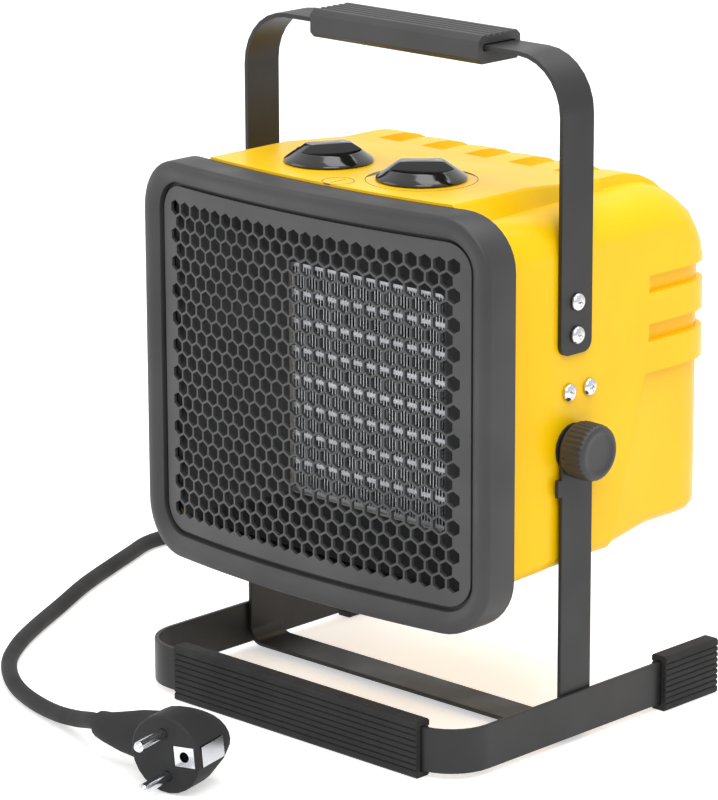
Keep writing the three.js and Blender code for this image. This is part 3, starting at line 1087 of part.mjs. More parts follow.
const EARTH_RECESS = EARTH_DEPTH + 2 * SEAT_GAP;
const CLIP_Y = 3;
const PIN_PLACES = [['upper', PIN_SPACING / 2], ['lower', -PIN_SPACING / 2]];

function plugBody() {
  const oval = (y, wide, high) => [y, circle(0, 0, 1, 24).map(([u, v]) => [u * wide, v * high])];
  const r = PLUG_RADIUS;
  const body = loft([oval(0, r - 0.8, r - 0.8), oval(0.8, r, r), oval(PLUG_DEPTH * 0.5, r, r),
    oval(PLUG_DEPTH * 0.8, r * 0.96, r * 0.8), oval(PLUG_DEPTH, r * 0.84, r * 0.62)]);
  const holes = PIN_PLACES.map(([, z]) => rodY(
    0, z, PIN_RADIUS + SHAFT_GAP, -1, PIN_ROOT + SEAT_GAP, 16));
  const g = SEAT_GAP;
  return cut(join(body, plugRelief()), ...holes,
    box(EARTH_FROM - g, EARTH_TO + g, -1, EARTH_RECESS, -EARTH_HALF - g, EARTH_HALF + g),
    rodY((EARTH_FROM + EARTH_TO) / 2, 0, EARTH_HOLE, 0.5, PIN_ROOT + 4, 16),
    box(r - CLIP_THICKNESS - g, r + 1, CLIP_Y - g, CLIP_Y + CLIP_LENGTH + g,
      -EARTH_HALF - g, EARTH_HALF + g));
}

const plugPin = (z) => turned([[0, -PIN_LENGTH], [PIN_RADIUS * 0.6, -PIN_LENGTH],
  [PIN_RADIUS, 1.4 - PIN_LENGTH], [PIN_RADIUS, PIN_ROOT], [0, PIN_ROOT]], 0, 0, z, 'y', 20);
const earthSocket = () => prismY(
  rectangle(EARTH_FROM, EARTH_TO, -EARTH_HALF, EARTH_HALF), EARTH_RECESS - SEAT_GAP - EARTH_DEPTH,
  EARTH_RECESS - SEAT_GAP, [circle((EARTH_FROM + EARTH_TO) / 2, 0, EARTH_HOLE, 16)]);
const earthClip = () => box(PLUG_RADIUS - CLIP_THICKNESS, PLUG_RADIUS,
  CLIP_Y, CLIP_Y + CLIP_LENGTH, -EARTH_HALF, EARTH_HALF);

// ---------------------------------------------------------------- assembly
const heater = new THREE.Group();
const add = (name, finish, solid) => place(heater, name, finish, solid);

add('housing_shell', 'housing_yellow', housingShell());
add('front_bezel', 'bezel_black', frontBezel());
add('hex_grille', 'bezel_black', hexGrille());
add('air_duct', 'duct_grey', airDuct());
add('element_frame', 'terminal_white', elementFrame());
add('heating_element', 'aluminium', heatingElement());
add('fan_baffle', 'zinc_steel', fanBaffle());
add('fan_wheel', 'fan_black', fanWheel());
add('motor_shaft', 'zinc_steel', motorShaft());
add('motor_bracket', 'zinc_steel', motorBracket());
add('fan_motor', 'motor_steel', fanMotor());
add('thermal_cutout', 'aluminium', thermalCutout());
add('terminal_block', 'terminal_white', terminalBlock());
add('rear_grille', 'bezel_black', rearGrille());
INTAKE_SCREWS.forEach(([x, z], i) => {
  add(`rear_grille_screw_${i + 1}`, 'zinc_steel', intakeScrew(x, z));
});

add('selector_switch', 'terminal_white', selectorSwitch(DIALS[0][1]));
add('thermostat', 'terminal_white', thermostatBody(DIALS[1][1]));
for (const [name, x, angle] of DIALS) {
  const dial = new THREE.Group();
  dial.position.set(x, DIAL_Y, DIAL_BASE_Z);
  dial.rotation.z = radians(angle);
  place(dial, `${name}_dial`, 'dial_black', dialKnob());
  place(dial, `${name}_shaft`, 'zinc_steel', dialShaft());
  heater.add(dial);
}

add('handle_strap', 'steel_black', handleStrap());
add('handle_grip', 'bezel_black', handleGrip());
for (const [side, sign] of SIDES) {
  add(`side_plate_${side}`, 'zinc_steel', sidePlate(sign));
  add(`pivot_nut_${side}`, 'zinc_steel', pivotNut(sign));
  add(`friction_washer_${side}`, 'rubber_black', frictionWasher(sign));
  add(`clamp_stud_${side}`, 'zinc_steel', clampStud(sign));
  add(`clamp_knob_${side}`, 'bezel_black', clampKnob(sign));
  SIDE_SCREWS.forEach((spot, i) => {
    add(`pad_screw_${side}_${i + 1}`, 'chrome', sideScrew(sign, spot, PAD_HALF_WIDTH));
  });
  HANDLE_SCREWS.forEach((spot, i) => {
    add(`handle_screw_${side}_${i + 1}`, 'chrome', sideScrew(sign, spot, HANDLE_HALF_WIDTH));
  });
  add(`rear_foot_${side}`, 'rubber_black', rearFoot(sign));
}

add('base_strap', 'steel_black', baseStrap());
add('support_strap', 'steel_black', supportStrap());
add('front_sleeve', 'rubber_black', frontSleeve());
add('cord_strain_relief', 'rubber_black', strainRelief());
add('mains_cord_fall', 'rubber_black', freeCord(CORD_FALL));
add('mains_cord_coil', 'rubber_black', cordCoil());
add('mains_cord_run', 'rubber_black', freeCord(CORD_RUN));

const coilFrame = new THREE.Group();
coilFrame.position.set(COIL_CENTRE[0], COIL_CENTRE[1], 0);
coilFrame.rotation.z = radians(TIE_AT);
place(coilFrame, 'mains_cord_tie', 'rubber_black', cordTie());
heater.add(coilFrame);

const plug = new THREE.Group();
const plugForward = new THREE.Vector3(...PLUG_PINS_ALONG).normalize().negate();
const plugAcross = new THREE.Vector3(...PLUG_ACROSS);
plugAcross.addScaledVector(plugForward, -plugAcross.dot(plugForward)).normalize();
plug.quaternion.setFromRotationMatrix(new THREE.Matrix4().makeBasis(
  plugAcross, plugForward, new THREE.Vector3().crossVectors(plugAcross, plugForward)));
plug.position.set(...PLUG_PLACE);
place(plug, 'plug_body', 'rubber_black', plugBody());
for (const [name, z] of PIN_PLACES) place(plug, `plug_pin_${name}`, 'chrome', plugPin(z));
place(plug, 'plug_earth_socket', 'chrome', earthSocket());
place(plug, 'plug_earth_clip', 'chrome', earthClip());
heater.add(plug);

export default heater;
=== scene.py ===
# %% [markdown]
# ## A portable forced air heater
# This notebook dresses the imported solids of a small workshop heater: a satin yellow housing behind
# a bowed black bezel, a fine hexagon mesh, two dials, a carrying handle and a tilting strap stand.
# The solids give every place and size. What is built here is the surface that a visitor sees.

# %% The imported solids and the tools
import json
import math

import bmesh
import bpy
from mathutils import Matrix, Vector


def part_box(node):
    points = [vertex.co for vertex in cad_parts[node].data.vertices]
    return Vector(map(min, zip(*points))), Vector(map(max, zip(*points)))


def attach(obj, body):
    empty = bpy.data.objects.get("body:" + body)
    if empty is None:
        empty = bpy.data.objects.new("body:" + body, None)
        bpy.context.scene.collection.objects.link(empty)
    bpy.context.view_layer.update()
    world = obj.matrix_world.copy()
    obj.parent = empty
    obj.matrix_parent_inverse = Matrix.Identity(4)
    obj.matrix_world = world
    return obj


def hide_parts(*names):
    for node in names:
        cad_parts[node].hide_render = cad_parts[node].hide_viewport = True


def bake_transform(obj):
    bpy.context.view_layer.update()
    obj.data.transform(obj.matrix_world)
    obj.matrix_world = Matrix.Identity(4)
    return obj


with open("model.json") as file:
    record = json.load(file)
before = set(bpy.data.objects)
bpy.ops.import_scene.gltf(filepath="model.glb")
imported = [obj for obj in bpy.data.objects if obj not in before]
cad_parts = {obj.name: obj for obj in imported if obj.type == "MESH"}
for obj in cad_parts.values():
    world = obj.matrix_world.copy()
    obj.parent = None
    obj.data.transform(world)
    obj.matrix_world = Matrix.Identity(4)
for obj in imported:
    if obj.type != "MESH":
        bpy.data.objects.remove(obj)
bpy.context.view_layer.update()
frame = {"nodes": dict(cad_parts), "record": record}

MM = 0.001

# %% [markdown]
# ## The camera
# The photograph was taken with a long lens from the front right, a little above the heater.
# The lens, distance and angles below were solved from edges whose sizes are known, so the camera
# is placed from angles and a distance, not by eye.

# %% The camera
AZIMUTH = math.radians(43.95)
ELEVATION = math.radians(15.17)
ROLL = math.radians(-0.223)
DISTANCE = 1782.0 * MM
PIXELS_HIGH = 800
FOCAL_PIXELS = 4102.5
SENSOR = 36.0
GRILLE_CENTRE = Vector((0.0, -80.2, 153.7)) * MM
# where the grille's centre lies in the picture, across and up
AIM_SHIFT = (-25.4 * MM, 2.1 * MM)

back = Vector((math.sin(AZIMUTH) * math.cos(ELEVATION),
               -math.cos(AZIMUTH) * math.cos(ELEVATION), math.sin(ELEVATION)))
level = Vector((math.cos(AZIMUTH), math.sin(AZIMUTH), 0.0))
upright = back.cross(level)
right = level * math.cos(ROLL) + upright * math.sin(ROLL)
up = upright * math.cos(ROLL) - level * math.sin(ROLL)

lens = bpy.data.cameras.new("camera")
lens.sensor_fit = "VERTICAL"
lens.sensor_height = SENSOR
lens.lens = FOCAL_PIXELS / PIXELS_HIGH * SENSOR
lens.clip_end = 50.0
camera = bpy.data.objects.new("camera", lens)
bpy.context.scene.collection.objects.link(camera)
place = Matrix((right, up, back)).transposed().to_4x4()
place.translation = GRILLE_CENTRE - right * AIM_SHIFT[0] - up * AIM_SHIFT[1] + back * DISTANCE
camera.matrix_world = place
bpy.context.scene.camera = camera
print("camera at", [round(value, 3) for value in camera.location], "lens", round(lens.lens, 1))

# %% [markdown]
# ## Finishes
# Every finish starts from one Principled shader. Two noise textures in object space do the work
# that a flat colour can't: a slow one shifts the colour and the gloss a little, and a fine one
# gives the surface its grain through a bump. The numbers that stay the same all over a surface
# are written on the shader's own sockets.

# %% A helper for the finishes
def srgb(red, green, blue):
    """A colour as a screen shows it, turned into the linear light that the shader wants."""
    def linear(value):
        value /= 255.0
        return value / 12.92 if value <= 0.04045 else ((value + 0.055) / 1.055) ** 2.4
    return (linear(red), linear(green), linear(blue), 1.0)


def link_noise(tree, scale, detail=2.0, roughness=0.5, stretch=None):
    """A noise texture on object coordinates; stretch squeezes it along one axis."""
    place_node = tree.nodes.new("ShaderNodeTexCoord")
    noise = tree.nodes.new("ShaderNodeTexNoise")
    noise.inputs["Scale"].default_value = scale
    noise.inputs["Detail"].default_value = detail
    noise.inputs["Roughness"].default_value = roughness
    source = place_node.outputs["Object"]
    if stretch:
        mapping = tree.nodes.new("ShaderNodeMapping")
        mapping.inputs["Scale"].default_value = stretch
        tree.links.new(source, mapping.inputs["Vector"])
        source = mapping.outputs["Vector"]
    tree.links.new(source, noise.inputs["Vector"])
    return noise.outputs["Fac"]


def spread(tree, value, low, high):
    """Maps a 0 to 1 texture to a range of values."""
    node = tree.nodes.new("ShaderNodeMapRange")
    node.inputs["From Min"].default_value = 0.3
    node.inputs["From Max"].default_value = 0.7
    node.inputs["To Min"].default_value = low
    node.inputs["To Max"].default_value = high
    tree.links.new(value, node.inputs["Value"])
    return node.outputs["Result"]


def finish(name, light, dark, gloss, grain, depth, metallic=0.0, coat=0.0, patches=18.0,
           stretch=None, specular=0.5):
    """A surface between two colours and two roughness values, with a grain of a given size."""
    material = bpy.data.materials.new(name)
    material.use_nodes = True
    tree = material.node_tree
    shader = tree.nodes["Principled BSDF"]
    shader.inputs["Metallic"].default_value = metallic
    shader.inputs["Coat Weight"].default_value = coat
    shader.inputs["Specular IOR Level"].default_value = specular
    slow = link_noise(tree, patches, stretch=stretch)
    ramp = tree.nodes.new("ShaderNodeValToRGB")
    ramp.color_ramp.elements[0].position = 0.3
    ramp.color_ramp.elements[1].position = 0.7
    ramp.color_ramp.elements[0].color = dark
    ramp.color_ramp.elements[1].color = light
    tree.links.new(slow, ramp.inputs["Fac"])
    tree.links.new(ramp.outputs["Color"], shader.inputs["Base Color"])
    tree.links.new(spread(tree, link_noise(tree, patches * 2.7, stretch=stretch), *gloss),
                   shader.inputs["Roughness"])
    bump = tree.nodes.new("ShaderNodeBump")
    bump.inputs["Strength"].default_value = 1.0
    bump.inputs["Distance"].default_value = depth
    tree.links.new(link_noise(tree, grain, detail=3.0, stretch=stretch), bump.inputs["Height"])
    tree.links.new(bump.outputs["Normal"], shader.inputs["Normal"])
    return material


# %% [markdown]
# ## The finishes of this heater
# The housing is a satin moulding in a warm yellow. The bezel and the mesh have the fine spark
# grain that hides scratches, the straps are powder coated, and the dials are polished black.
# Screws and plug pins are plated, and the parts inside are bare sheet metal or aluminium.

# %% The finishes
FINISH = {
    "yellow_plastic": finish("yellow_plastic", srgb(254, 205, 4), srgb(251, 197, 2),
                             (0.30, 0.38), 1400.0, 0.000006, specular=0.3),
    "grained_plastic": finish("grained_plastic", srgb(58, 58, 59), srgb(48, 48, 49),
                              (0.42, 0.52), 1900.0, 0.00002, specular=0.4),
    "mesh_plastic": finish("mesh_plastic", srgb(74, 74, 75), srgb(64, 64, 65),
                           (0.42, 0.52), 1900.0, 0.00002, specular=0.4),
    "powder_coat": finish("powder_coat", srgb(42, 42, 43), srgb(33, 33, 34),
                          (0.36, 0.48), 900.0, 0.00002, specular=0.35),
    "rubber": finish("rubber", srgb(40, 40, 41), srgb(30, 30, 31),
                     (0.62, 0.78), 1500.0, 0.00002, specular=0.3),
    "gloss_black": finish("gloss_black", srgb(20, 20, 21), srgb(15, 15, 16),
                          (0.10, 0.16), 500.0, 0.000003, coat=0.3),
    "chrome": finish("chrome", srgb(214, 216, 219), srgb(198, 200, 204),
                     (0.12, 0.22), 1600.0, 0.000003, metallic=1.0),
    "zinc": finish("zinc", srgb(188, 190, 194), srgb(166, 168, 172),
                   (0.30, 0.45), 600.0, 0.000005, metallic=1.0),
    "aluminium": finish("aluminium", srgb(206, 208, 211), srgb(182, 185, 189),
                        (0.24, 0.38), 700.0, 0.000006, metallic=1.0, stretch=(1.0, 1.0, 6.0)),
    "motor_steel": finish("motor_steel", srgb(150, 152, 156), srgb(126, 128, 132),
                          (0.28, 0.42), 500.0, 0.000005, metallic=1.0, stretch=(1.0, 8.0, 1.0)),
    "duct_paint": finish("duct_paint", srgb(40, 40, 42), srgb(30, 30, 32),
                         (0.55, 0.70), 900.0, 0.00001),
    "ceramic": finish("ceramic", srgb(214, 208, 196), srgb(200, 193, 180),
                      (0.50, 0.62), 800.0, 0.00001),
    "fan_plastic": finish("fan_plastic", srgb(34, 34, 36), srgb(26, 26, 28),
                          (0.40, 0.55), 1200.0, 0.00001),
    "print_white": finish("print_white", srgb(224, 224, 222), srgb(214, 214, 212),
                          (0.45, 0.55), 900.0, 0.000003),
    "print_grey": finish("print_grey", srgb(92, 92, 94), srgb(80, 80, 82),
                         (0.45, 0.55), 900.0, 0.000003),
}


# The part of the housing's inside that the mesh shows, in metres; painted shade darkens the yellow
# there
INSIDE_HALF_WIDTH = 0.0854
INSIDE_FLOOR = 0.0772
INSIDE_ROOF = 0.2
INSIDE_REAR = -0.048
# painted shade: a dark grey put on the housing's yellow inside, where shade falls behind the mesh
INSIDE_PAINTED_SHADE = srgb(34, 34, 35)


def paint_shade_inside(material):
    """Paints shade into the colour: darkens what lies inside a box in front of the duct, where the
    mesh shows it.
    """
    tree = material.node_tree
    shader = tree.nodes["Principled BSDF"]
    colour = shader.inputs["Base Color"].links[0].from_socket
    place_node = tree.nodes.new("ShaderNodeTexCoord")
    axes = tree.nodes.new("ShaderNodeSeparateXYZ")
    tree.links.new(place_node.outputs["Object"], axes.inputs["Vector"])
    across = tree.nodes.new("ShaderNodeMath")
    across.operation = "ABSOLUTE"
    tree.links.new(axes.outputs["X"], across.inputs[0])
    inside = None
    for value, operation, limit in ((across.outputs["Value"], "LESS_THAN", INSIDE_HALF_WIDTH),
                                    (axes.outputs["Z"], "GREATER_THAN", INSIDE_FLOOR),
                                    (axes.outputs["Z"], "LESS_THAN", INSIDE_ROOF),
                                    (axes.outputs["Y"], "LESS_THAN", INSIDE_REAR)):
        test = tree.nodes.new("ShaderNodeMath")
        test.operation = operation
        test.inputs[1].default_value = limit
        tree.links.new(value, test.inputs[0])
        if inside is None:
            inside = test.outputs["Value"]
        else:
            both = tree.nodes.new("ShaderNodeMath")
            both.operation = "MULTIPLY"
            tree.links.new(inside, both.inputs[0])
            tree.links.new(test.outputs["Value"], both.inputs[1])
            inside = both.outputs["Value"]
    choice = tree.nodes.new("ShaderNodeMix")
    choice.data_type = "RGBA"
    tree.links.new(inside, choice.inputs["Factor"])
    tree.links.new(colour, choice.inputs[6])
    choice.inputs[7].default_value = INSIDE_PAINTED_SHADE
    tree.links.new(choice.outputs[2], shader.inputs["Base Color"])


# the housing's inside gets painted shade where the mesh shows it
paint_shade_inside(FINISH["yellow_plastic"])
print("finishes:", len(FINISH))

# %% [markdown]
# ## Pieces and the bodies that they ride on
# A new piece rides on one of the moving bodies and may stand for one or more of the imported
# solids. One helper does both, so that no piece forgets either.

# %% Helpers that place a piece
BODY_OF = {node: body for body, nodes in frame["record"]["behaviour"]["bodies"].items()
           for node in nodes}


def add_piece(name, mesh, surface, body, nodes=()):
    """Links a finished mesh, names its finish and body, and hides the solids that it stands for."""
    piece = bpy.data.objects.new(name, mesh)
    bpy.context.scene.collection.objects.link(piece)
    mesh.materials.clear()
    mesh.materials.append(FINISH[surface])
    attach(piece, body)
    if nodes:
        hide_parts(*nodes)
    return piece


def mesh_of(name, points, faces, smooth=40.0):
    """A closed mesh from points and faces, with its normals outwards and its edges kept crisp."""
    mesh = bpy.data.meshes.new(name)
    mesh.from_pydata([tuple(point) for point in points], [], faces)
    work = bmesh.new()
    work.from_mesh(mesh)
    bmesh.ops.remove_doubles(work, verts=work.verts, dist=1e-7)
    bmesh.ops.recalc_face_normals(work, faces=work.faces)
    work.to_mesh(mesh)
    work.free()
    mesh.shade_smooth()
    mesh.set_sharp_from_angle(angle=math.radians(smooth))
    return mesh


def loft(name, rings, closed_along=False, smooth=40.0):
    """Skins a row of rings that all have the same number of points."""
    count = len(rings[0])
    points = [point for ring in rings for point in ring]
    faces = []
    spans = len(rings) if closed_along else len(rings) - 1
    for row in range(spans):
        low, high = row * count, ((row + 1) % len(rings)) * count
        faces += [(low + i, low + (i + 1) % count, high + (i + 1) % count, high + i)
                  for i in range(count)]
    if not closed_along:
        faces += [tuple(range(count)), tuple((len(rings) - 1) * count + i for i in range(count))]
    return mesh_of(name, points, faces, smooth)


def evaluated(piece, name):
    """What a piece's modifiers make of it, as a plain mesh with no modifier left."""
    graph = bpy.context.evaluated_depsgraph_get()
    mesh = bpy.data.meshes.new_from_object(piece.evaluated_get(graph))
    mesh.name = name
    base = piece.data
    bpy.data.objects.remove(piece)
    bpy.data.meshes.remove(base)
    return mesh


# %% [markdown]
# ## The mains cord
# The photograph hides where the cord leaves the heater, so its length of about 1.5 m is that of
# such an appliance. It drops from the strain relief to the floor, lies in a small tied coil behind
# the heater, and runs round the left side to the plug in front. It is one tube along one line.

# %% The cord's route
CORD_DIAMETER = 7.5
CORD_FALL = [
    (-66, 129.7, 133.5), (-66, 140.9, 133.4), (-66, 151.8, 130.9), (-66.2, 161.3, 124.9),
    (-66.8, 168.3, 116.2), (-67.6, 172.9, 106), (-68.9, 177.4, 95.8), (-70.8, 181.5, 85.5),
    (-73.4, 185.4, 75.3), (-76.5, 188.8, 65), (-80.1, 191.6, 54.8), (-84.1, 193.9, 44.5),
    (-88.4, 195.5, 34.3), (-93, 196.6, 24.1), (-99.9, 197.5, 15.3), (-109.1, 197.9, 8.9),
    (-119.8, 198, 5.5), (-131, 198, 5), (-142.2, 198, 5),
]
CORD_RUN = [
    (-198, 142.2, 13.1), (-198, 140, 13.1), (-199.2, 133.1, 12.4), (-202.7, 124.7, 10.2),
    (-208.3, 117.5, 7.6), (-215, 110.8, 5.5), (-222.4, 103.4, 4.3), (-229.5, 96.3, 4),
    (-236.6, 89.2, 4), (-242.2, 82, 4), (-245.6, 73.6, 4), (-246.7, 64.5, 4),
    (-245.4, 54.6, 4), (-238.8, 38.3, 4), (-230.2, 17.3, 4), (-217.5, -12.2, 4),
    (-201, -43.7, 4), (-186, -72.7, 4), (-174, -93.2, 4), (-158, -113.9, 4),
    (-140.3, -128.8, 4), (-122.7, -139, 4), (-103, -146, 4.1), (-83, -151.5, 5.6),
    (-63, -157.6, 9.6), (-45.2, -164.2, 14.7), (-38.8, -165.6, 15.1),
]
COIL_CENTRE = (-150, 150, 5)
COIL_RADIUS = 48
COIL_GAP = 0.6
COIL_TURNS = 3.25
COIL_START = 90
COIL_STEPS = 48


def coil_point(turn):
    """A point of the coil: in through the lower layer, up where it turns back, out above."""
    pitch = CORD_DIAMETER + COIL_GAP
    radius = COIL_RADIUS - pitch * min(turn, COIL_TURNS - turn)
    rise = pitch * min(max(2 * (turn - COIL_TURNS / 2) + 0.5, 0), 1)
    angle = math.radians(COIL_START + 360 * turn)
    return (COIL_CENTRE[0] + radius * math.cos(angle), COIL_CENTRE[1] + radius * math.sin(angle),
            COIL_CENTRE[2] + rise)


coil_steps = round(COIL_TURNS * COIL_STEPS)
CORD_COIL = [coil_point(COIL_TURNS * i / coil_steps) for i in range(coil_steps + 1)]
print("coil points:", len(CORD_COIL))


# %% Rounding the route to a smooth line
def smooth_line(points, step):
    """A centripetal Catmull-Rom line through the points, with a point about every step."""
    points = [Vector(point) for point in points]
    ends = [2 * points[0] - points[1], *points, 2 * points[-1] - points[-2]]
    line = [points[0]]
    for before, start, end, after in zip(ends, ends[1:], ends[2:], ends[3:]):
        knots = [0.0]
        for a, b in ((before, start), (start, end), (end, after)):
            knots.append(knots[-1] + math.sqrt((b - a).length))
        count = max(1, round((end - start).length / step))
        for i in range(1, count + 1):
            t = knots[1] + (knots[2] - knots[1]) * i / count
            def blend(a, b, low, high):
                return a * ((knots[high] - t) / (knots[high] - knots[low])) \
                    + b * ((t - knots[low]) / (knots[high] - knots[low]))
            a1, a2, a3 = (blend(before, start, 0, 1), blend(start, end, 1, 2),
                          blend(end, after, 2, 3))
            line.append(blend(blend(a1, a2, 0, 2), blend(a2, a3, 1, 3), 1, 2))
    return line


cord_line = [point * MM for point in
             smooth_line(CORD_FALL, 4) + [Vector(point) for point in CORD_COIL[:-1]]
             + [Vector(CORD_COIL[-1])] + smooth_line(CORD_RUN, 4)]


# %% The cord's tube
def tube(name, line, radius, sides):
    """A closed round tube whose sections turn as little as possible along the line."""
    points, faces = [], []
    along = (line[1] - line[0]).normalized()
    side = along.orthogonal().normalized()
    for i, place in enumerate(line):
        ahead = line[min(i + 1, len(line) - 1)] - line[max(i - 1, 0)]
        along = ahead.normalized()
        side = (side - along * side.dot(along)).normalized()
        other = along.cross(side)
        points += [place + (side * math.cos(turn) + other * math.sin(turn)) * radius
                   for turn in (2 * math.pi * k / sides for k in range(sides))]
    for i in range(len(line) - 1):
        low, high = i * sides, (i + 1) * sides
        faces += [(low + k, low + (k + 1) % sides, high + (k + 1) % sides, high + k)
                  for k in range(sides)]
    last = (len(line) - 1) * sides
    faces += [tuple(range(sides)), tuple(last + k for k in range(sides))]
    return mesh_of(name, points, faces, smooth=60.0)


cord = bpy.data.objects.new("mains_cord", tube(
    "mains_cord", cord_line, CORD_DIAMETER / 2 * MM, 24))
bpy.context.scene.collection.objects.link(cord)
cord.data.materials.append(FINISH["rubber"])
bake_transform(cord)
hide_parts("mains_cord_fall", "mains_cord_coil", "mains_cord_run")
print("cord faces:", len(cord.data.polygons))

# %% [markdown]
# ## Floor and light
# A plain pale floor catches the shadow. Rays that come straight from the camera, or by way of a
# shiny surface, meet a bright background, so that it reads as white without any extra light on
# the heater. Two large lamps and a soft sky light the heater about as brightly as its colours.

# %% The floor
def seen_directly(tree):
    """1 for rays from the camera, also by way of a shiny or clear surface, and 0 for the rest."""
    rays = tree.nodes.new("ShaderNodeLightPath")
    value = rays.outputs["Is Camera Ray"]
    for label in ("Is Glossy Ray", "Is Transmission Ray"):
        either = tree.nodes.new("ShaderNodeMath")
        either.operation = "MAXIMUM"
        tree.links.new(value, either.inputs[0])
        tree.links.new(rays.outputs[label], either.inputs[1])
        value = either.outputs["Value"]
    return value


floor_paint = bpy.data.materials.new("floor_paint")
floor_paint.use_nodes = True
tree = floor_paint.node_tree
paint = tree.nodes["Principled BSDF"]
paint.inputs["Base Color"].default_value = (0.86, 0.86, 0.86, 1.0)
paint.inputs["Roughness"].default_value = 0.9
paint.inputs["Specular IOR Level"].default_value = 0.1
lift = tree.nodes.new("ShaderNodeMath")
lift.operation = "MULTIPLY"
lift.inputs[1].default_value = 0.5
tree.links.new(seen_directly(tree), lift.inputs[0])
paint.inputs["Emission Color"].default_value = (1.0, 1.0, 1.0, 1.0)
tree.links.new(lift.outputs["Value"], paint.inputs["Emission Strength"])

FLOOR_HALF = 12.0
floor_mesh = bpy.data.meshes.new("floor")
floor_mesh.from_pydata([(-FLOOR_HALF, -FLOOR_HALF, 0), (FLOOR_HALF, -FLOOR_HALF, 0),
                        (FLOOR_HALF, FLOOR_HALF, 0), (-FLOOR_HALF, FLOOR_HALF, 0)],
                       [], [(0, 1, 2, 3)])
floor_mesh.materials.append(floor_paint)
floor = bpy.data.objects.new("floor", floor_mesh)
bpy.context.scene.collection.objects.link(floor)

# %% The sky and the lamps
bpy.context.scene.view_settings.view_transform = "Standard"
world = bpy.data.worlds.new("studio")
world.use_nodes = True
bpy.context.scene.world = world
tree = world.node_tree
sky = tree.nodes["Background"]
sky.inputs["Color"].default_value = (1.0, 1.0, 1.0, 1.0)
strength = tree.nodes.new("ShaderNodeMapRange")
strength.inputs["To Min"].default_value = 0.62
strength.inputs["To Max"].default_value = 1.0
tree.links.new(seen_directly(tree), strength.inputs["Value"])
tree.links.new(strength.outputs["Result"], sky.inputs["Strength"])


def lamp(name, place, aim, size, power):
    light = bpy.data.lights.new(name, "AREA")
    light.shape = "SQUARE"
    light.size = size
    light.energy = power
    holder = bpy.data.objects.new(name, light)
    bpy.context.scene.collection.objects.link(holder)
    holder.location = place
    holder.rotation_euler = (Vector(aim) - Vector(place)).to_track_quat("-Z", "Y").to_euler()
    return holder


lamp("key", (1.3, -1.1, 1.9), (0, 0, 0.12), 1.4, 27.0)
lamp("fill", (-1.6, -1.4, 1.1), (0, 0, 0.12), 1.6, 12.0)
lamp("top", (0.2, 0.6, 2.2), (0, 0, 0.12), 1.6, 26.0)

# %% [markdown]
# ## Softening a solid
# Most solids already have the right shape, but their edges are knife sharp and their round faces
# are flat facets. A copy of the solid is merged into one skin, its flat triangles are joined, a
# tiny bevel rounds the sharp edges, and the normals follow the larger faces. The copy then stands
# for the solid.

# %% A helper that softens a solid
EDGE_ANGLE = math.radians(32)
FLAT_ANGLE = math.radians(0.4)
WELD = 2e-6


def soften(node, surface, bevel):
    """Puts a welded, bevelled copy of a solid in the solid's place."""
    mesh = frame["nodes"][node].data.copy()
    work = bmesh.new()
    work.from_mesh(mesh)
    bmesh.ops.remove_doubles(work, verts=work.verts, dist=WELD)
    bmesh.ops.dissolve_limit(work, angle_limit=FLAT_ANGLE, verts=work.verts, edges=work.edges)
    work.to_mesh(mesh)
    work.free()
    mesh.shade_smooth()
    piece = bpy.data.objects.new(node + "_copy", mesh)
    bpy.context.scene.collection.objects.link(piece)
    edge = piece.modifiers.new("edge", "BEVEL")
    edge.width = bevel
    edge.segments = 2
    edge.limit_method = "ANGLE"
    edge.angle_limit = EDGE_ANGLE
    edge.use_clamp_overlap = True
    weigh = piece.modifiers.new("weigh", "WEIGHTED_NORMAL")
    weigh.keep_sharp = True
    mesh = evaluated(piece, node + "_skin")
    return add_piece(node + "_skin", mesh, surface, BODY_OF[node], [node])


# %% [markdown]
# ## The solids that are softened
# These are the moulded, cast and bent pieces whose form the solids already hold.

# %% Housing, straps, rubber and plug
SOFTENED = {
    "housing_shell": ("yellow_plastic", 0.0005),
    "handle_strap": ("powder_coat", 0.0004),
    "support_strap": ("powder_coat", 0.0004),
    "base_strap": ("powder_coat", 0.0004),
    "handle_grip": ("grained_plastic", 0.0005),
    "front_sleeve": ("rubber", 0.0003),
    "rear_foot_left": ("rubber", 0.0003),
    "rear_foot_right": ("rubber", 0.0003),
    "cord_strain_relief": ("rubber", 0.0003),
    "plug_body": ("rubber", 0.0004),
    "plug_pin_upper": ("chrome", 0.0002),
    "plug_pin_lower": ("chrome", 0.0002),
    "rear_grille": ("grained_plastic", 0.0003),
    "friction_washer_left": ("rubber", 0.0002),
    "friction_washer_right": ("rubber", 0.0002),
}
for node, (surface, bevel) in SOFTENED.items():
    soften(node, surface, bevel)
print("softened:", len(SOFTENED))

# %% Solids that only take a finish
BARE = {
    "air_duct": "duct_paint", "element_frame": "ceramic", "fan_baffle": "zinc",
    "fan_wheel": "fan_plastic", "motor_shaft": "zinc", "motor_bracket": "zinc",
    "fan_motor": "motor_steel", "thermal_cutout": "aluminium", "terminal_block": "ceramic",
    "selector_switch": "ceramic", "thermostat": "ceramic", "selector_shaft": "zinc",
    "thermostat_shaft": "zinc", "side_plate_left": "zinc", "side_plate_right": "zinc",
    "pivot_nut_left": "zinc", "pivot_nut_right": "zinc", "clamp_stud_left": "zinc",
    "clamp_stud_right": "zinc", "plug_earth_socket": "chrome", "plug_earth_clip": "chrome",
    "mains_cord_tie": "rubber", "rear_grille_screw_1": "zinc", "rear_grille_screw_2": "zinc",
    "rear_grille_screw_3": "zinc", "rear_grille_screw_4": "zinc",
}
for node, surface in BARE.items():
    solid = frame["nodes"][node]
    solid.data.materials.clear()
    solid.data.materials.append(FINISH[surface])
print("given a finish:", len(BARE))

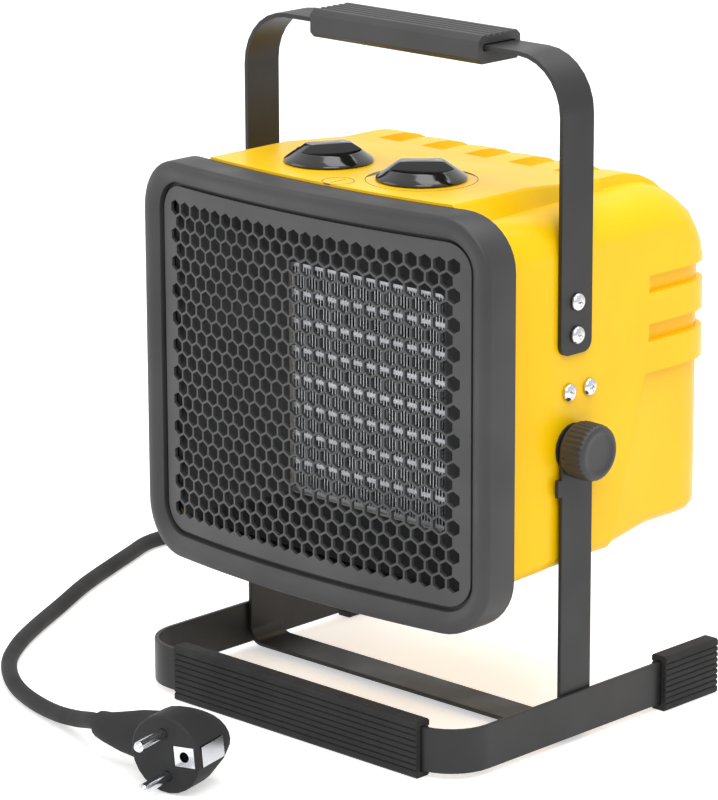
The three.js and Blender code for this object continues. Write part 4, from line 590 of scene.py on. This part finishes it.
# %% [markdown]
# ## The bezel
# The bezel is one moulding: a rim with a rounded edge, a cove that falls to the mesh, and a band
# behind it. Its section is swept round a rectangle with round corners, and the whole is bent round
# an upright axis, as the mesh is. More steps are used than in the solid, so that it looks round.

# %% The bezel's sweep
GRILLE_Y = -80.2
CENTRE_Z = 153.7
BOW_RADIUS = 535.0
BEZEL_HALF = (104.5, 91.5)
BEZEL_CORNER = 24.0
BEZEL_PROUD = 4.2
# inset from the outline, depth behind the rim
BEZEL_SECTION = [
    (0, 16.9), (0, 2.2), (0.1, 1.5), (0.4, 0.85), (0.85, 0.4), (1.5, 0.1), (2.2, 0), (3.6, 0),
    (4.6, 0.12), (6.3, 0.75), (8.3, 1.85), (9.3, 2.55), (9.6, 2.8), (9.7, 3.1), (9.7, 6.1),
    (14, 6.1), (14, 8.7), (6, 8.7), (6, 16.9),
]


def bow(x):
    return x * x / (2 * BOW_RADIUS)


def round_outline(half_x, half_z, radius, corner_steps=10, edge_steps=16):
    """Points of a rectangle with round corners, with steps along its straight edges as well."""
    radius = max(radius, 0.01)
    corners = [(half_x - radius, half_z - radius, 0), (radius - half_x, half_z - radius, 90),
               (radius - half_x, radius - half_z, 180), (half_x - radius, radius - half_z, 270)]
    points = []
    for i, (x, z, start) in enumerate(corners):
        points += [(x + radius * math.cos(math.radians(start + 90 * k / corner_steps)),
                    z + radius * math.sin(math.radians(start + 90 * k / corner_steps)))
                   for k in range(corner_steps + 1)]
        next_x, next_z, next_start = corners[(i + 1) % 4]
        end = (next_x + radius * math.cos(math.radians(next_start)),
               next_z + radius * math.sin(math.radians(next_start)))
        here = points[-1]
        points += [(here[0] + (end[0] - here[0]) * k / edge_steps,
                    here[1] + (end[1] - here[1]) * k / edge_steps) for k in range(1, edge_steps)]
    return points


def bezel_ring(inset, depth):
    outline = round_outline(BEZEL_HALF[0] - inset, BEZEL_HALF[1] - inset, BEZEL_CORNER - inset)
    return [Vector((x, GRILLE_Y - BEZEL_PROUD + depth + bow(x), CENTRE_Z + z)) * MM
            for x, z in outline]


bezel = add_piece("bezel", loft("bezel", [bezel_ring(*spot) for spot in BEZEL_SECTION],
                                closed_along=True, smooth=30.0),
                  "grained_plastic", "heater", ["front_bezel"])
print("bezel faces:", len(bezel.data.polygons))

# %% [markdown]
# ## The hexagon mesh
# The real mesh has over five hundred cells. Two grids of points, one for the odd rows and one for
# the even rows, together make a honeycomb. A six-sided prism stands on each point, and all prisms
# are cut out of a bowed plate at once. Geometry Nodes keeps the pitch, the web and the counts as
# named inputs.

# %% A helper for node trees
def node_tree(name, inputs):
    """A geometry node tree with named inputs; returns it with its input and output nodes."""
    tree = bpy.data.node_groups.new(name, "GeometryNodeTree")
    tree.interface.new_socket("Geometry", in_out="INPUT", socket_type="NodeSocketGeometry")
    for label, kind in inputs:
        tree.interface.new_socket(label, in_out="INPUT", socket_type=kind)
    tree.interface.new_socket("Geometry", in_out="OUTPUT", socket_type="NodeSocketGeometry")
    return tree, tree.nodes.new("NodeGroupInput"), tree.nodes.new("NodeGroupOutput")


def node(tree, kind, links=(), **values):
    """A new node with its sockets set by name, and links given as (socket name, output)."""
    made = tree.nodes.new(kind)
    for label, value in values.items():
        made.inputs[label.replace("_", " ")].default_value = value
    for label, output in links:
        tree.links.new(output, made.inputs[label])
    return made


def calc(tree, operation, first, second):
    made = tree.nodes.new("ShaderNodeMath")
    made.operation = operation
    for i, value in enumerate((first, second)):
        if isinstance(value, (int, float)):
            made.inputs[i].default_value = value
        else:
            tree.links.new(value, made.inputs[i])
    return made.outputs["Value"]


def run_tree(name, mesh, tree, values):
    """Runs a tree on a mesh and returns the plain mesh that it makes."""
    piece = bpy.data.objects.new(name, mesh)
    bpy.context.scene.collection.objects.link(piece)
    modifier = piece.modifiers.new("nodes", "NODES")
    modifier.node_group = tree
    sockets = {item.name: item.identifier for item in tree.interface.items_tree
               if item.in_out == "INPUT"}
    for label, value in values.items():
        modifier[sockets[label]] = value
    return evaluated(piece, name)


# %% The honeycomb tree
HEX_PITCH = 7.318 * MM
HEX_WEB = 1.05 * MM
HEX_COLUMNS = 24
HEX_ROWS = 23
MESH_HALF = (92.8, 79.8)
MESH_CORNER = 12.3
MESH_THICKNESS = 1.6

tree, given, made = node_tree("honeycomb", [
    ("Pitch", "NodeSocketFloat"), ("Web", "NodeSocketFloat"), ("Columns", "NodeSocketInt"),
    ("Rows", "NodeSocketInt"), ("Depth", "NodeSocketFloat"), ("Centre", "NodeSocketVector"),
    ("Material", "NodeSocketMaterial")])
row_pitch = calc(tree, "MULTIPLY", given.outputs["Pitch"], math.sqrt(3) / 2)
reach = calc(tree, "DIVIDE", calc(tree, "SUBTRACT", given.outputs["Pitch"],
                                  given.outputs["Web"]), math.sqrt(3))
lattice = tree.nodes.new("GeometryNodeJoinGeometry")
for fewer in (1, 0):
    columns = calc(tree, "SUBTRACT", given.outputs["Columns"], fewer)
    rows = calc(tree, "SUBTRACT", calc(tree, "DIVIDE", calc(
        tree, "ADD", given.outputs["Rows"], 1), 2), fewer)
    grid = node(tree, "GeometryNodeMeshGrid", [
        ("Size X", calc(tree, "MULTIPLY", calc(tree, "SUBTRACT", columns, 1),
                        given.outputs["Pitch"])),
        ("Size Y", calc(tree, "MULTIPLY", calc(tree, "MULTIPLY", calc(
            tree, "SUBTRACT", rows, 1), 2), row_pitch)),
        ("Vertices X", columns), ("Vertices Y", rows)])
    tree.links.new(grid.outputs["Mesh"], lattice.inputs["Geometry"])
stand_up = node(tree, "GeometryNodeTransform", [
    ("Geometry", lattice.outputs["Geometry"]), ("Translation", given.outputs["Centre"])],
    Rotation=(math.radians(90), 0, 0))
prism = node(tree, "GeometryNodeMeshCylinder", [
    ("Radius", reach), ("Depth", given.outputs["Depth"])], Vertices=6)
spun = node(tree, "GeometryNodeTransform", [("Geometry", prism.outputs["Mesh"])],
            Rotation=(0, 0, math.radians(30)))
laid = node(tree, "GeometryNodeTransform", [("Geometry", spun.outputs["Geometry"])],
            Rotation=(math.radians(90), 0, 0))
cells = node(tree, "GeometryNodeInstanceOnPoints", [
    ("Points", stand_up.outputs["Geometry"]), ("Instance", laid.outputs["Geometry"])])
real = node(tree, "GeometryNodeRealizeInstances", [("Geometry", cells.outputs["Instances"])])
cut = tree.nodes.new("GeometryNodeMeshBoolean")
cut.operation = "DIFFERENCE"
cut.solver = "MANIFOLD"
tree.links.new(given.outputs["Geometry"], cut.inputs["Mesh 1"])
tree.links.new(real.outputs["Geometry"], cut.inputs["Mesh 2"])
painted = node(tree, "GeometryNodeSetMaterial", [
    ("Geometry", cut.outputs["Mesh"]), ("Material", given.outputs["Material"])])
tree.links.new(painted.outputs["Geometry"], made.inputs["Geometry"])


# %% The bowed plate and its cells
def bowed_plate(name, half, corner, front, back_face, steps=24):
    """A thin plate with round corners, bent like the bezel, as a stack of upright strips."""
    def height(x):
        past = max(0.0, abs(x) - (half[0] - corner))
        return half[1] - corner + math.sqrt(max(corner * corner - past * past, 0.0))
    inner = half[0] - corner
    xs = [-half[0] + corner * (1 - math.cos(math.radians(90 * k / 8))) for k in range(9)]
    xs += [-inner + 2 * inner * k / steps for k in range(1, steps)]
    xs += [inner + corner * math.sin(math.radians(90 * k / 8)) for k in range(9)]
    rings = [[Vector((x, GRILLE_Y + depth + bow(x), CENTRE_Z + sign * max(height(x), 1.0))) * MM
              for depth, sign in ((front, -1), (front, 1), (back_face, 1), (back_face, -1))]
             for x in xs]
    return loft(name, rings)


plate = bowed_plate("mesh_plate", MESH_HALF, MESH_CORNER, 0.0, MESH_THICKNESS)
honeycomb = run_tree("honeycomb", plate, tree, {
    "Pitch": HEX_PITCH, "Web": HEX_WEB, "Columns": HEX_COLUMNS, "Rows": HEX_ROWS, "Depth": 0.05,
    "Centre": tuple(GRILLE_CENTRE), "Material": FINISH["mesh_plastic"]})
honeycomb.shade_flat()
mesh_piece = add_piece("hexagon_mesh", honeycomb, "mesh_plastic", "heater", ["hex_grille"])
print("hexagon mesh faces:", len(mesh_piece.data.polygons))

# %% [markdown]
# ## The heating element
# Behind the mesh sits the element: flat bars that carry current, with rows of thin aluminium fins
# between them. One grid of points carries all fins, and a cube is stretched to a fin on each.

# %% The fins
ELEMENT_LOW, ELEMENT_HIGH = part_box("heating_element")
BARS = 9
BAR_HEIGHT = 2.4 * MM
BAR_SET_BACK = 0.6 * MM         # the fins' ends stand in front of the bars
FINS_ACROSS = 54
FIN_THICKNESS = 0.5 * MM

tree, given, made = node_tree("fins", [
    ("Across", "NodeSocketInt"), ("Rows", "NodeSocketInt"), ("Width", "NodeSocketFloat"),
    ("Height", "NodeSocketFloat"), ("Fin", "NodeSocketVector"), ("Centre", "NodeSocketVector"),
    ("Material", "NodeSocketMaterial")])
grid = node(tree, "GeometryNodeMeshGrid", [
    ("Size X", given.outputs["Width"]), ("Size Y", given.outputs["Height"]),
    ("Vertices X", given.outputs["Across"]), ("Vertices Y", given.outputs["Rows"])])
stand_up = node(tree, "GeometryNodeTransform", [
    ("Geometry", grid.outputs["Mesh"]), ("Translation", given.outputs["Centre"])],
    Rotation=(math.radians(90), 0, 0))
fin = node(tree, "GeometryNodeMeshCube", [("Size", given.outputs["Fin"])])
fins = node(tree, "GeometryNodeInstanceOnPoints", [
    ("Points", stand_up.outputs["Geometry"]), ("Instance", fin.outputs["Mesh"])])
both = node(tree, "GeometryNodeJoinGeometry", [("Geometry", given.outputs["Geometry"])])
tree.links.new(fins.outputs["Instances"], both.inputs["Geometry"])
real = node(tree, "GeometryNodeRealizeInstances", [("Geometry", both.outputs["Geometry"])])
painted = node(tree, "GeometryNodeSetMaterial", [
    ("Geometry", real.outputs["Geometry"]), ("Material", given.outputs["Material"])])
tree.links.new(painted.outputs["Geometry"], made.inputs["Geometry"])


def boxes(name, corners):
    """Separate boxes in one mesh, each given by its lowest and highest corner."""
    points, faces = [], []
    for low, high in corners:
        base = len(points)
        points += [(x, y, z) for x in (low[0], high[0]) for y in (low[1], high[1])
                   for z in (low[2], high[2])]
        faces += [tuple(base + k for k in face) for face in (
            (0, 1, 3, 2), (4, 6, 7, 5), (0, 4, 5, 1), (2, 3, 7, 6), (0, 2, 6, 4), (1, 5, 7, 3))]
    return mesh_of(name, points, faces)


pitch = (ELEMENT_HIGH[2] - ELEMENT_LOW[2] - BAR_HEIGHT) / (BARS - 1)
bars = boxes("element_bars", [
    ((ELEMENT_LOW[0], ELEMENT_LOW[1] + BAR_SET_BACK, ELEMENT_LOW[2] + i * pitch),
     (ELEMENT_HIGH[0], ELEMENT_HIGH[1] - BAR_SET_BACK, ELEMENT_LOW[2] + i * pitch + BAR_HEIGHT))
    for i in range(BARS)])
row_height = pitch - BAR_HEIGHT
first_row = ELEMENT_LOW[2] + BAR_HEIGHT + row_height / 2
element = run_tree("element", bars, tree, {
    "Across": FINS_ACROSS, "Rows": BARS - 1,
    "Width": ELEMENT_HIGH[0] - ELEMENT_LOW[0] - 2 * MM, "Height": pitch * (BARS - 2),
    "Fin": (FIN_THICKNESS, ELEMENT_HIGH[1] - ELEMENT_LOW[1], row_height + 0.8 * MM),
    "Centre": (0.0, (ELEMENT_LOW[1] + ELEMENT_HIGH[1]) / 2, first_row + pitch * (BARS - 2) / 2),
    "Material": FINISH["aluminium"]})
element_piece = add_piece("element_fins", element, "aluminium", "heater", ["heating_element"])
print("element faces:", len(element_piece.data.polygons))

# %% [markdown]
# ## Screws with a cross recess
# Eight plated screws hold the handle and the side plates. The head is a low dome with a cross cut
# into it. Each screw stands on a point that knows which way it faces, and a seeded random turn
# keeps the crosses from lining up, as nobody lines them up on a workbench.

# %% One screw head
SCREW_HEAD_RADIUS = 4.0
SCREW_HEAD_HEIGHT = 2.4
SHANK_RADIUS = 1.8


def turned(name, profile, sides, smooth=40.0):
    """A turned piece about +Z from (radius, height) pairs; the profile starts and ends inside."""
    rings = [[Vector((radius * math.cos(turn), radius * math.sin(turn), height)) * MM
              for turn in (2 * math.pi * k / sides for k in range(sides))]
             for radius, height in profile]
    return loft(name, rings, smooth=smooth)


def cut_with(mesh, tool, name):
    """Cuts one mesh with another by a boolean modifier."""
    piece = bpy.data.objects.new(name, mesh)
    cutter = bpy.data.objects.new(name + "_tool", tool)
    for item in (piece, cutter):
        bpy.context.scene.collection.objects.link(item)
    modifier = piece.modifiers.new("cut", "BOOLEAN")
    modifier.operation = "DIFFERENCE"
    modifier.solver = "EXACT"
    modifier.object = cutter
    result = evaluated(piece, name)
    bpy.data.objects.remove(cutter)
    return result


def cross_tool(reach, width, top, bottom):
    """A cross of two tapered blades, as a driver's tip is."""
    rings = []
    for size, height in ((1.0, top), (0.45, bottom)):
        r, w = reach * size, width * size
        rings.append([Vector((x, y, height)) * MM for x, y in (
            (r, -w), (r, w), (w, w), (w, r), (-w, r), (-w, w), (-r, w), (-r, -w), (-w, -w),
            (-w, -r), (w, -r), (w, -w))])
    return loft("cross", rings)


dome = [(SHANK_RADIUS, -6.0), (SHANK_RADIUS, 0.0), (SCREW_HEAD_RADIUS - 0.15, 0.0),
        (SCREW_HEAD_RADIUS, 0.15), (SCREW_HEAD_RADIUS, 0.6), (3.75, 1.15), (3.2, 1.7),
        (2.3, 2.15), (1.2, SCREW_HEAD_HEIGHT - 0.03), (0.4, SCREW_HEAD_HEIGHT)]
screw_head = cut_with(turned("screw_head", dome, 32), cross_tool(2.3, 0.5, 3.0, 0.7), "screw_head")
print("screw faces:", len(screw_head.polygons))

# %% All the side screws
tree, given, made = node_tree("screws", [
    ("Screw", "NodeSocketObject"), ("Seed", "NodeSocketInt"), ("Material", "NodeSocketMaterial")])
facing = node(tree, "GeometryNodeInputNamedAttribute")
facing.data_type = "FLOAT_VECTOR"
facing.inputs["Name"].default_value = "facing"
aligned = tree.nodes.new("FunctionNodeAlignRotationToVector")
aligned.axis = "Z"
tree.links.new(facing.outputs["Attribute"], aligned.inputs["Vector"])
chance = tree.nodes.new("FunctionNodeRandomValue")
chance.data_type = "FLOAT_VECTOR"
chance.inputs["Min"].default_value = (0, 0, 0)
chance.inputs["Max"].default_value = (0, 0, math.pi / 2)
tree.links.new(given.outputs["Seed"], chance.inputs["Seed"])
twist = tree.nodes.new("FunctionNodeRotateRotation")
twist.rotation_space = "LOCAL"
tree.links.new(aligned.outputs["Rotation"], twist.inputs["Rotation"])
tree.links.new(chance.outputs[0], twist.inputs["Rotate By"])
shape = node(tree, "GeometryNodeObjectInfo", [("Object", given.outputs["Screw"])])
screws = node(tree, "GeometryNodeInstanceOnPoints", [
    ("Points", given.outputs["Geometry"]), ("Instance", shape.outputs["Geometry"]),
    ("Rotation", twist.outputs["Rotation"])])
real = node(tree, "GeometryNodeRealizeInstances", [("Geometry", screws.outputs["Instances"])])
painted = node(tree, "GeometryNodeSetMaterial", [
    ("Geometry", real.outputs["Geometry"]), ("Material", given.outputs["Material"])])
tree.links.new(painted.outputs["Geometry"], made.inputs["Geometry"])

SCREW_NODES = [f"{kind}_{side}_{i}" for kind in ("pad_screw", "handle_screw")
               for side in ("left", "right") for i in (1, 2)]
spots, ways = [], []
for name in SCREW_NODES:
    low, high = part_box(name)
    outward = 1.0 if "right" in name else -1.0
    edge = high[0] if outward > 0 else low[0]
    spots.append((edge - outward * SCREW_HEAD_HEIGHT * MM, (low[1] + high[1]) / 2,
                  (low[2] + high[2]) / 2))
    ways.append((outward, 0.0, 0.0))
points = bpy.data.meshes.new("screw_points")
points.from_pydata(spots, [], [])
points.attributes.new("facing", "FLOAT_VECTOR", "POINT").data.foreach_set(
    "vector", [value for way in ways for value in way])
pattern = bpy.data.objects.new("screw_pattern", screw_head)
screw_mesh = run_tree("side_screws", points, tree, {
    "Screw": pattern, "Seed": 4, "Material": FINISH["chrome"]})
screw_piece = add_piece("side_screws", screw_mesh, "chrome", "heater", SCREW_NODES)
bpy.data.objects.remove(pattern)
print("side screws:", len(SCREW_NODES), "faces:", len(screw_piece.data.polygons))

# %% [markdown]
# ## The clamp knobs
# A clamp knob is a shallow drum with round flutes all round its rim, a soft outer edge and a
# slightly dished face. The flutes are a cosine added to the radius, so the number of flutes and
# their depth are single values.

# %% The clamp knobs
KNOB_RADIUS = 12.8
KNOB_FLUTES = 32
KNOB_FLUTE_DEPTH = 0.55
KNOB_SECTION = [        # height above the strap, share of the radius, share of the flute depth
    (0.0, 0.93, 0.0), (0.25, 0.955, 0.0), (1.3, 0.955, 0.0), (1.5, 0.985, 0.7), (2.0, 1.0, 1.0),
    (9.6, 0.985, 1.0), (10.6, 0.965, 0.7), (11.4, 0.93, 0.2), (12.0, 0.875, 0.0),
    (12.27, 0.80, 0.0), (12.3, 0.74, 0.0), (12.1, 0.68, 0.0), (11.7, 0.64, 0.0), (11.5, 0.58, 0.0),
    (11.45, 0.40, 0.0), (11.45, 0.10, 0.0)]


def knob_mesh(name, node, outward):
    low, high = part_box(node)
    base = low[0] if outward > 0 else high[0]
    centre_y, centre_z = (low[1] + high[1]) / 2, (low[2] + high[2]) / 2
    steps = KNOB_FLUTES * 8
    rings = []
    for height, share, flute in KNOB_SECTION:
        ring = []
        for k in range(steps):
            turn = 2 * math.pi * k / steps
            dip = KNOB_FLUTE_DEPTH * flute * (0.5 - 0.5 * math.cos(KNOB_FLUTES * turn))
            radius = (KNOB_RADIUS * share - dip) * MM
            ring.append(Vector((base + outward * height * MM, centre_y + radius * math.cos(turn),
                                centre_z + radius * math.sin(turn))))
        rings.append(ring)
    return loft(name, rings, smooth=50.0)


for side, outward in (("left", -1.0), ("right", 1.0)):
    knob = add_piece(f"knob_{side}", knob_mesh(f"knob_{side}", f"clamp_knob_{side}", outward),
                     "grained_plastic", f"{side}_clamp", [f"clamp_knob_{side}"])
    print(knob.name, "faces:", len(knob.data.polygons))

# %% [markdown]
# ## The dials
# Each dial is a low polished black cone. Two scoops for finger and thumb leave a bar across it.
# The cone is turned, the scoops are cut by a boolean, and a small bevel gives every edge the
# bright line that a polished edge has. A thin white line shows where the dial points.

# %% The dials
DIAL_HEIGHT = 8.2
SCOOP_RADIUS = 14.5
SCOOP_FLOOR = 2.2
GRIP_HALF = 3.8
CONE = [(0.5, 0.0), (19.4, 0.0), (19.85, 0.12), (20.0, 0.45), (19.9, 0.95), (19.4, 1.5),
        (17.6, 2.75), (15.2, 4.5), (12.6, 6.35), (11.0, 7.45), (10.3, 7.9), (9.6, 8.12),
        (8.8, DIAL_HEIGHT), (0.5, DIAL_HEIGHT)]
POINTER = ((0.0058, -0.0004, 0.0080), (0.0092, 0.0004, 0.00822))    # two corners, in metres
DIALS = {"selector": 62.0, "thermostat": 44.0}      # how far each is turned in the photo


def scoop(sign):
    """A tool with the outline of one scoop: a straight side along the bar and a round one."""
    start = math.asin(GRIP_HALF / SCOOP_RADIUS)
    turns = [start + (math.pi - 2 * start) * k / 40 for k in range(41)]
    outline = [(SCOOP_RADIUS * math.cos(turn), sign * SCOOP_RADIUS * math.sin(turn))
               for turn in turns]
    return loft("scoop", [[Vector((x, y, height)) * MM for x, y in outline]
                          for height in (SCOOP_FLOOR, DIAL_HEIGHT + 2)])


def dial_mesh(name):
    """The cone with its two scoops and softened edges, about its own shaft."""
    mesh = turned(name, CONE, 96, smooth=50.0)
    for sign in (1, -1):
        mesh = cut_with(mesh, scoop(sign), name)
    piece = bpy.data.objects.new(name, mesh)
    bpy.context.scene.collection.objects.link(piece)
    edge = piece.modifiers.new("edge", "BEVEL")
    edge.width = 0.25 * MM
    edge.segments = 2
    edge.limit_method = "ANGLE"
    edge.angle_limit = math.radians(35)
    mesh = evaluated(piece, name)
    mesh.shade_smooth()
    mesh.set_sharp_from_angle(angle=math.radians(40))
    return mesh


SHAFTS = {}
for kind, turn in DIALS.items():
    low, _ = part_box(kind + "_dial")
    shaft_low, shaft_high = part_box(kind + "_shaft")
    centre = (Vector(shaft_low) + Vector(shaft_high)) / 2
    centre.z = low[2]
    SHAFTS[kind] = centre
    spin = Matrix.Translation(centre) @ Matrix.Rotation(math.radians(turn), 4, "Z")
    body = BODY_OF[kind + "_dial"]
    mesh = dial_mesh(kind + "_knob")
    mesh.transform(spin)
    dial = add_piece(kind + "_knob", mesh, "gloss_black", body, [kind + "_dial"])
    pointer = boxes(kind + "_pointer", [POINTER])
    pointer.transform(spin)
    add_piece(kind + "_pointer", pointer, "print_white", body)
    print(dial.name, "faces:", len(dial.data.polygons))

# %% [markdown]
# ## The printed marks
# Two marks are printed on the housing: the sign for switched on, and round the thermostat's dial a
# ring with a grey wedge that grows as more warmth is asked for. Each is a thin plate that stands a
# few hundredths of a millimetre proud, as a thick print does.

# %% The printed marks
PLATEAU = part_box("housing_shell")[1][2]
PRINT_BASE = PLATEAU - 0.0004
PRINT_TOP = PLATEAU + 0.00005
RING_RADIUS = (24.6, 24.25)     # outer and inner, in mm
WEDGE_TURNS = (152, 222)        # where the wedge starts and ends, in degrees
WEDGE_WIDTH = 3.0
SIGN_RADIUS = (7.2, 6.8)
SIGN_AT = Vector((0.004, -0.0602, 0.0))
SIGN_BAR = (0.0002, 0.0046)     # half-width and half-length
FULL_TURN = 359.9


def join_meshes(name, meshes):
    """One mesh of several, kept as separate closed shells."""
    work = bmesh.new()
    for mesh in meshes:
        work.from_mesh(mesh)
    joined = bpy.data.meshes.new(name)
    work.to_mesh(joined)
    work.free()
    for mesh in meshes:
        bpy.data.meshes.remove(mesh)
    joined.shade_smooth()
    joined.set_sharp_from_angle(angle=math.radians(45))
    return joined


def band(name, centre, outer, inner, turns, steps):
    """A flat arc of the given outer radius in mm; inner gives the inner radius along it."""
    rings = []
    for k in range(steps + 1):
        turn = math.radians(turns[0] + (turns[1] - turns[0]) * k / steps)
        rings.append([Vector((centre.x + radius * MM * math.cos(turn),
                              centre.y + radius * MM * math.sin(turn), height))
                      for radius, height in (
                          (outer, PRINT_BASE), (outer, PRINT_TOP),
                          (inner(k / steps), PRINT_TOP), (inner(k / steps), PRINT_BASE))])
    return loft(name, rings)


def wedge_inner(share):
    """The wedge's inner radius: widest a little before its middle."""
    swell = math.sin(math.pi * min(1.0, share * 1.15)) ** 0.8
    return RING_RADIUS[1] + 0.05 - WEDGE_WIDTH * swell


marks = [
    band("ring", SHAFTS["thermostat"], RING_RADIUS[0], lambda share: RING_RADIUS[1],
         (0, FULL_TURN), 96),
    band("wedge", SHAFTS["thermostat"], RING_RADIUS[0], wedge_inner, WEDGE_TURNS, 32),
    band("circle", SIGN_AT, SIGN_RADIUS[0], lambda share: SIGN_RADIUS[1], (0, FULL_TURN), 64),
    boxes("bar", [((SIGN_AT.x - SIGN_BAR[0], SIGN_AT.y - SIGN_BAR[1], PRINT_BASE),
                   (SIGN_AT.x + SIGN_BAR[0], SIGN_AT.y + SIGN_BAR[1], PRINT_TOP))]),
]
print_mesh = join_meshes("dial_marks", marks)
add_piece("dial_marks", print_mesh, "print_grey", "heater")
print("marks:", len(print_mesh.polygons), "faces, plateau at", round(PLATEAU, 5))

# %% The end
bpy.context.view_layer.update()
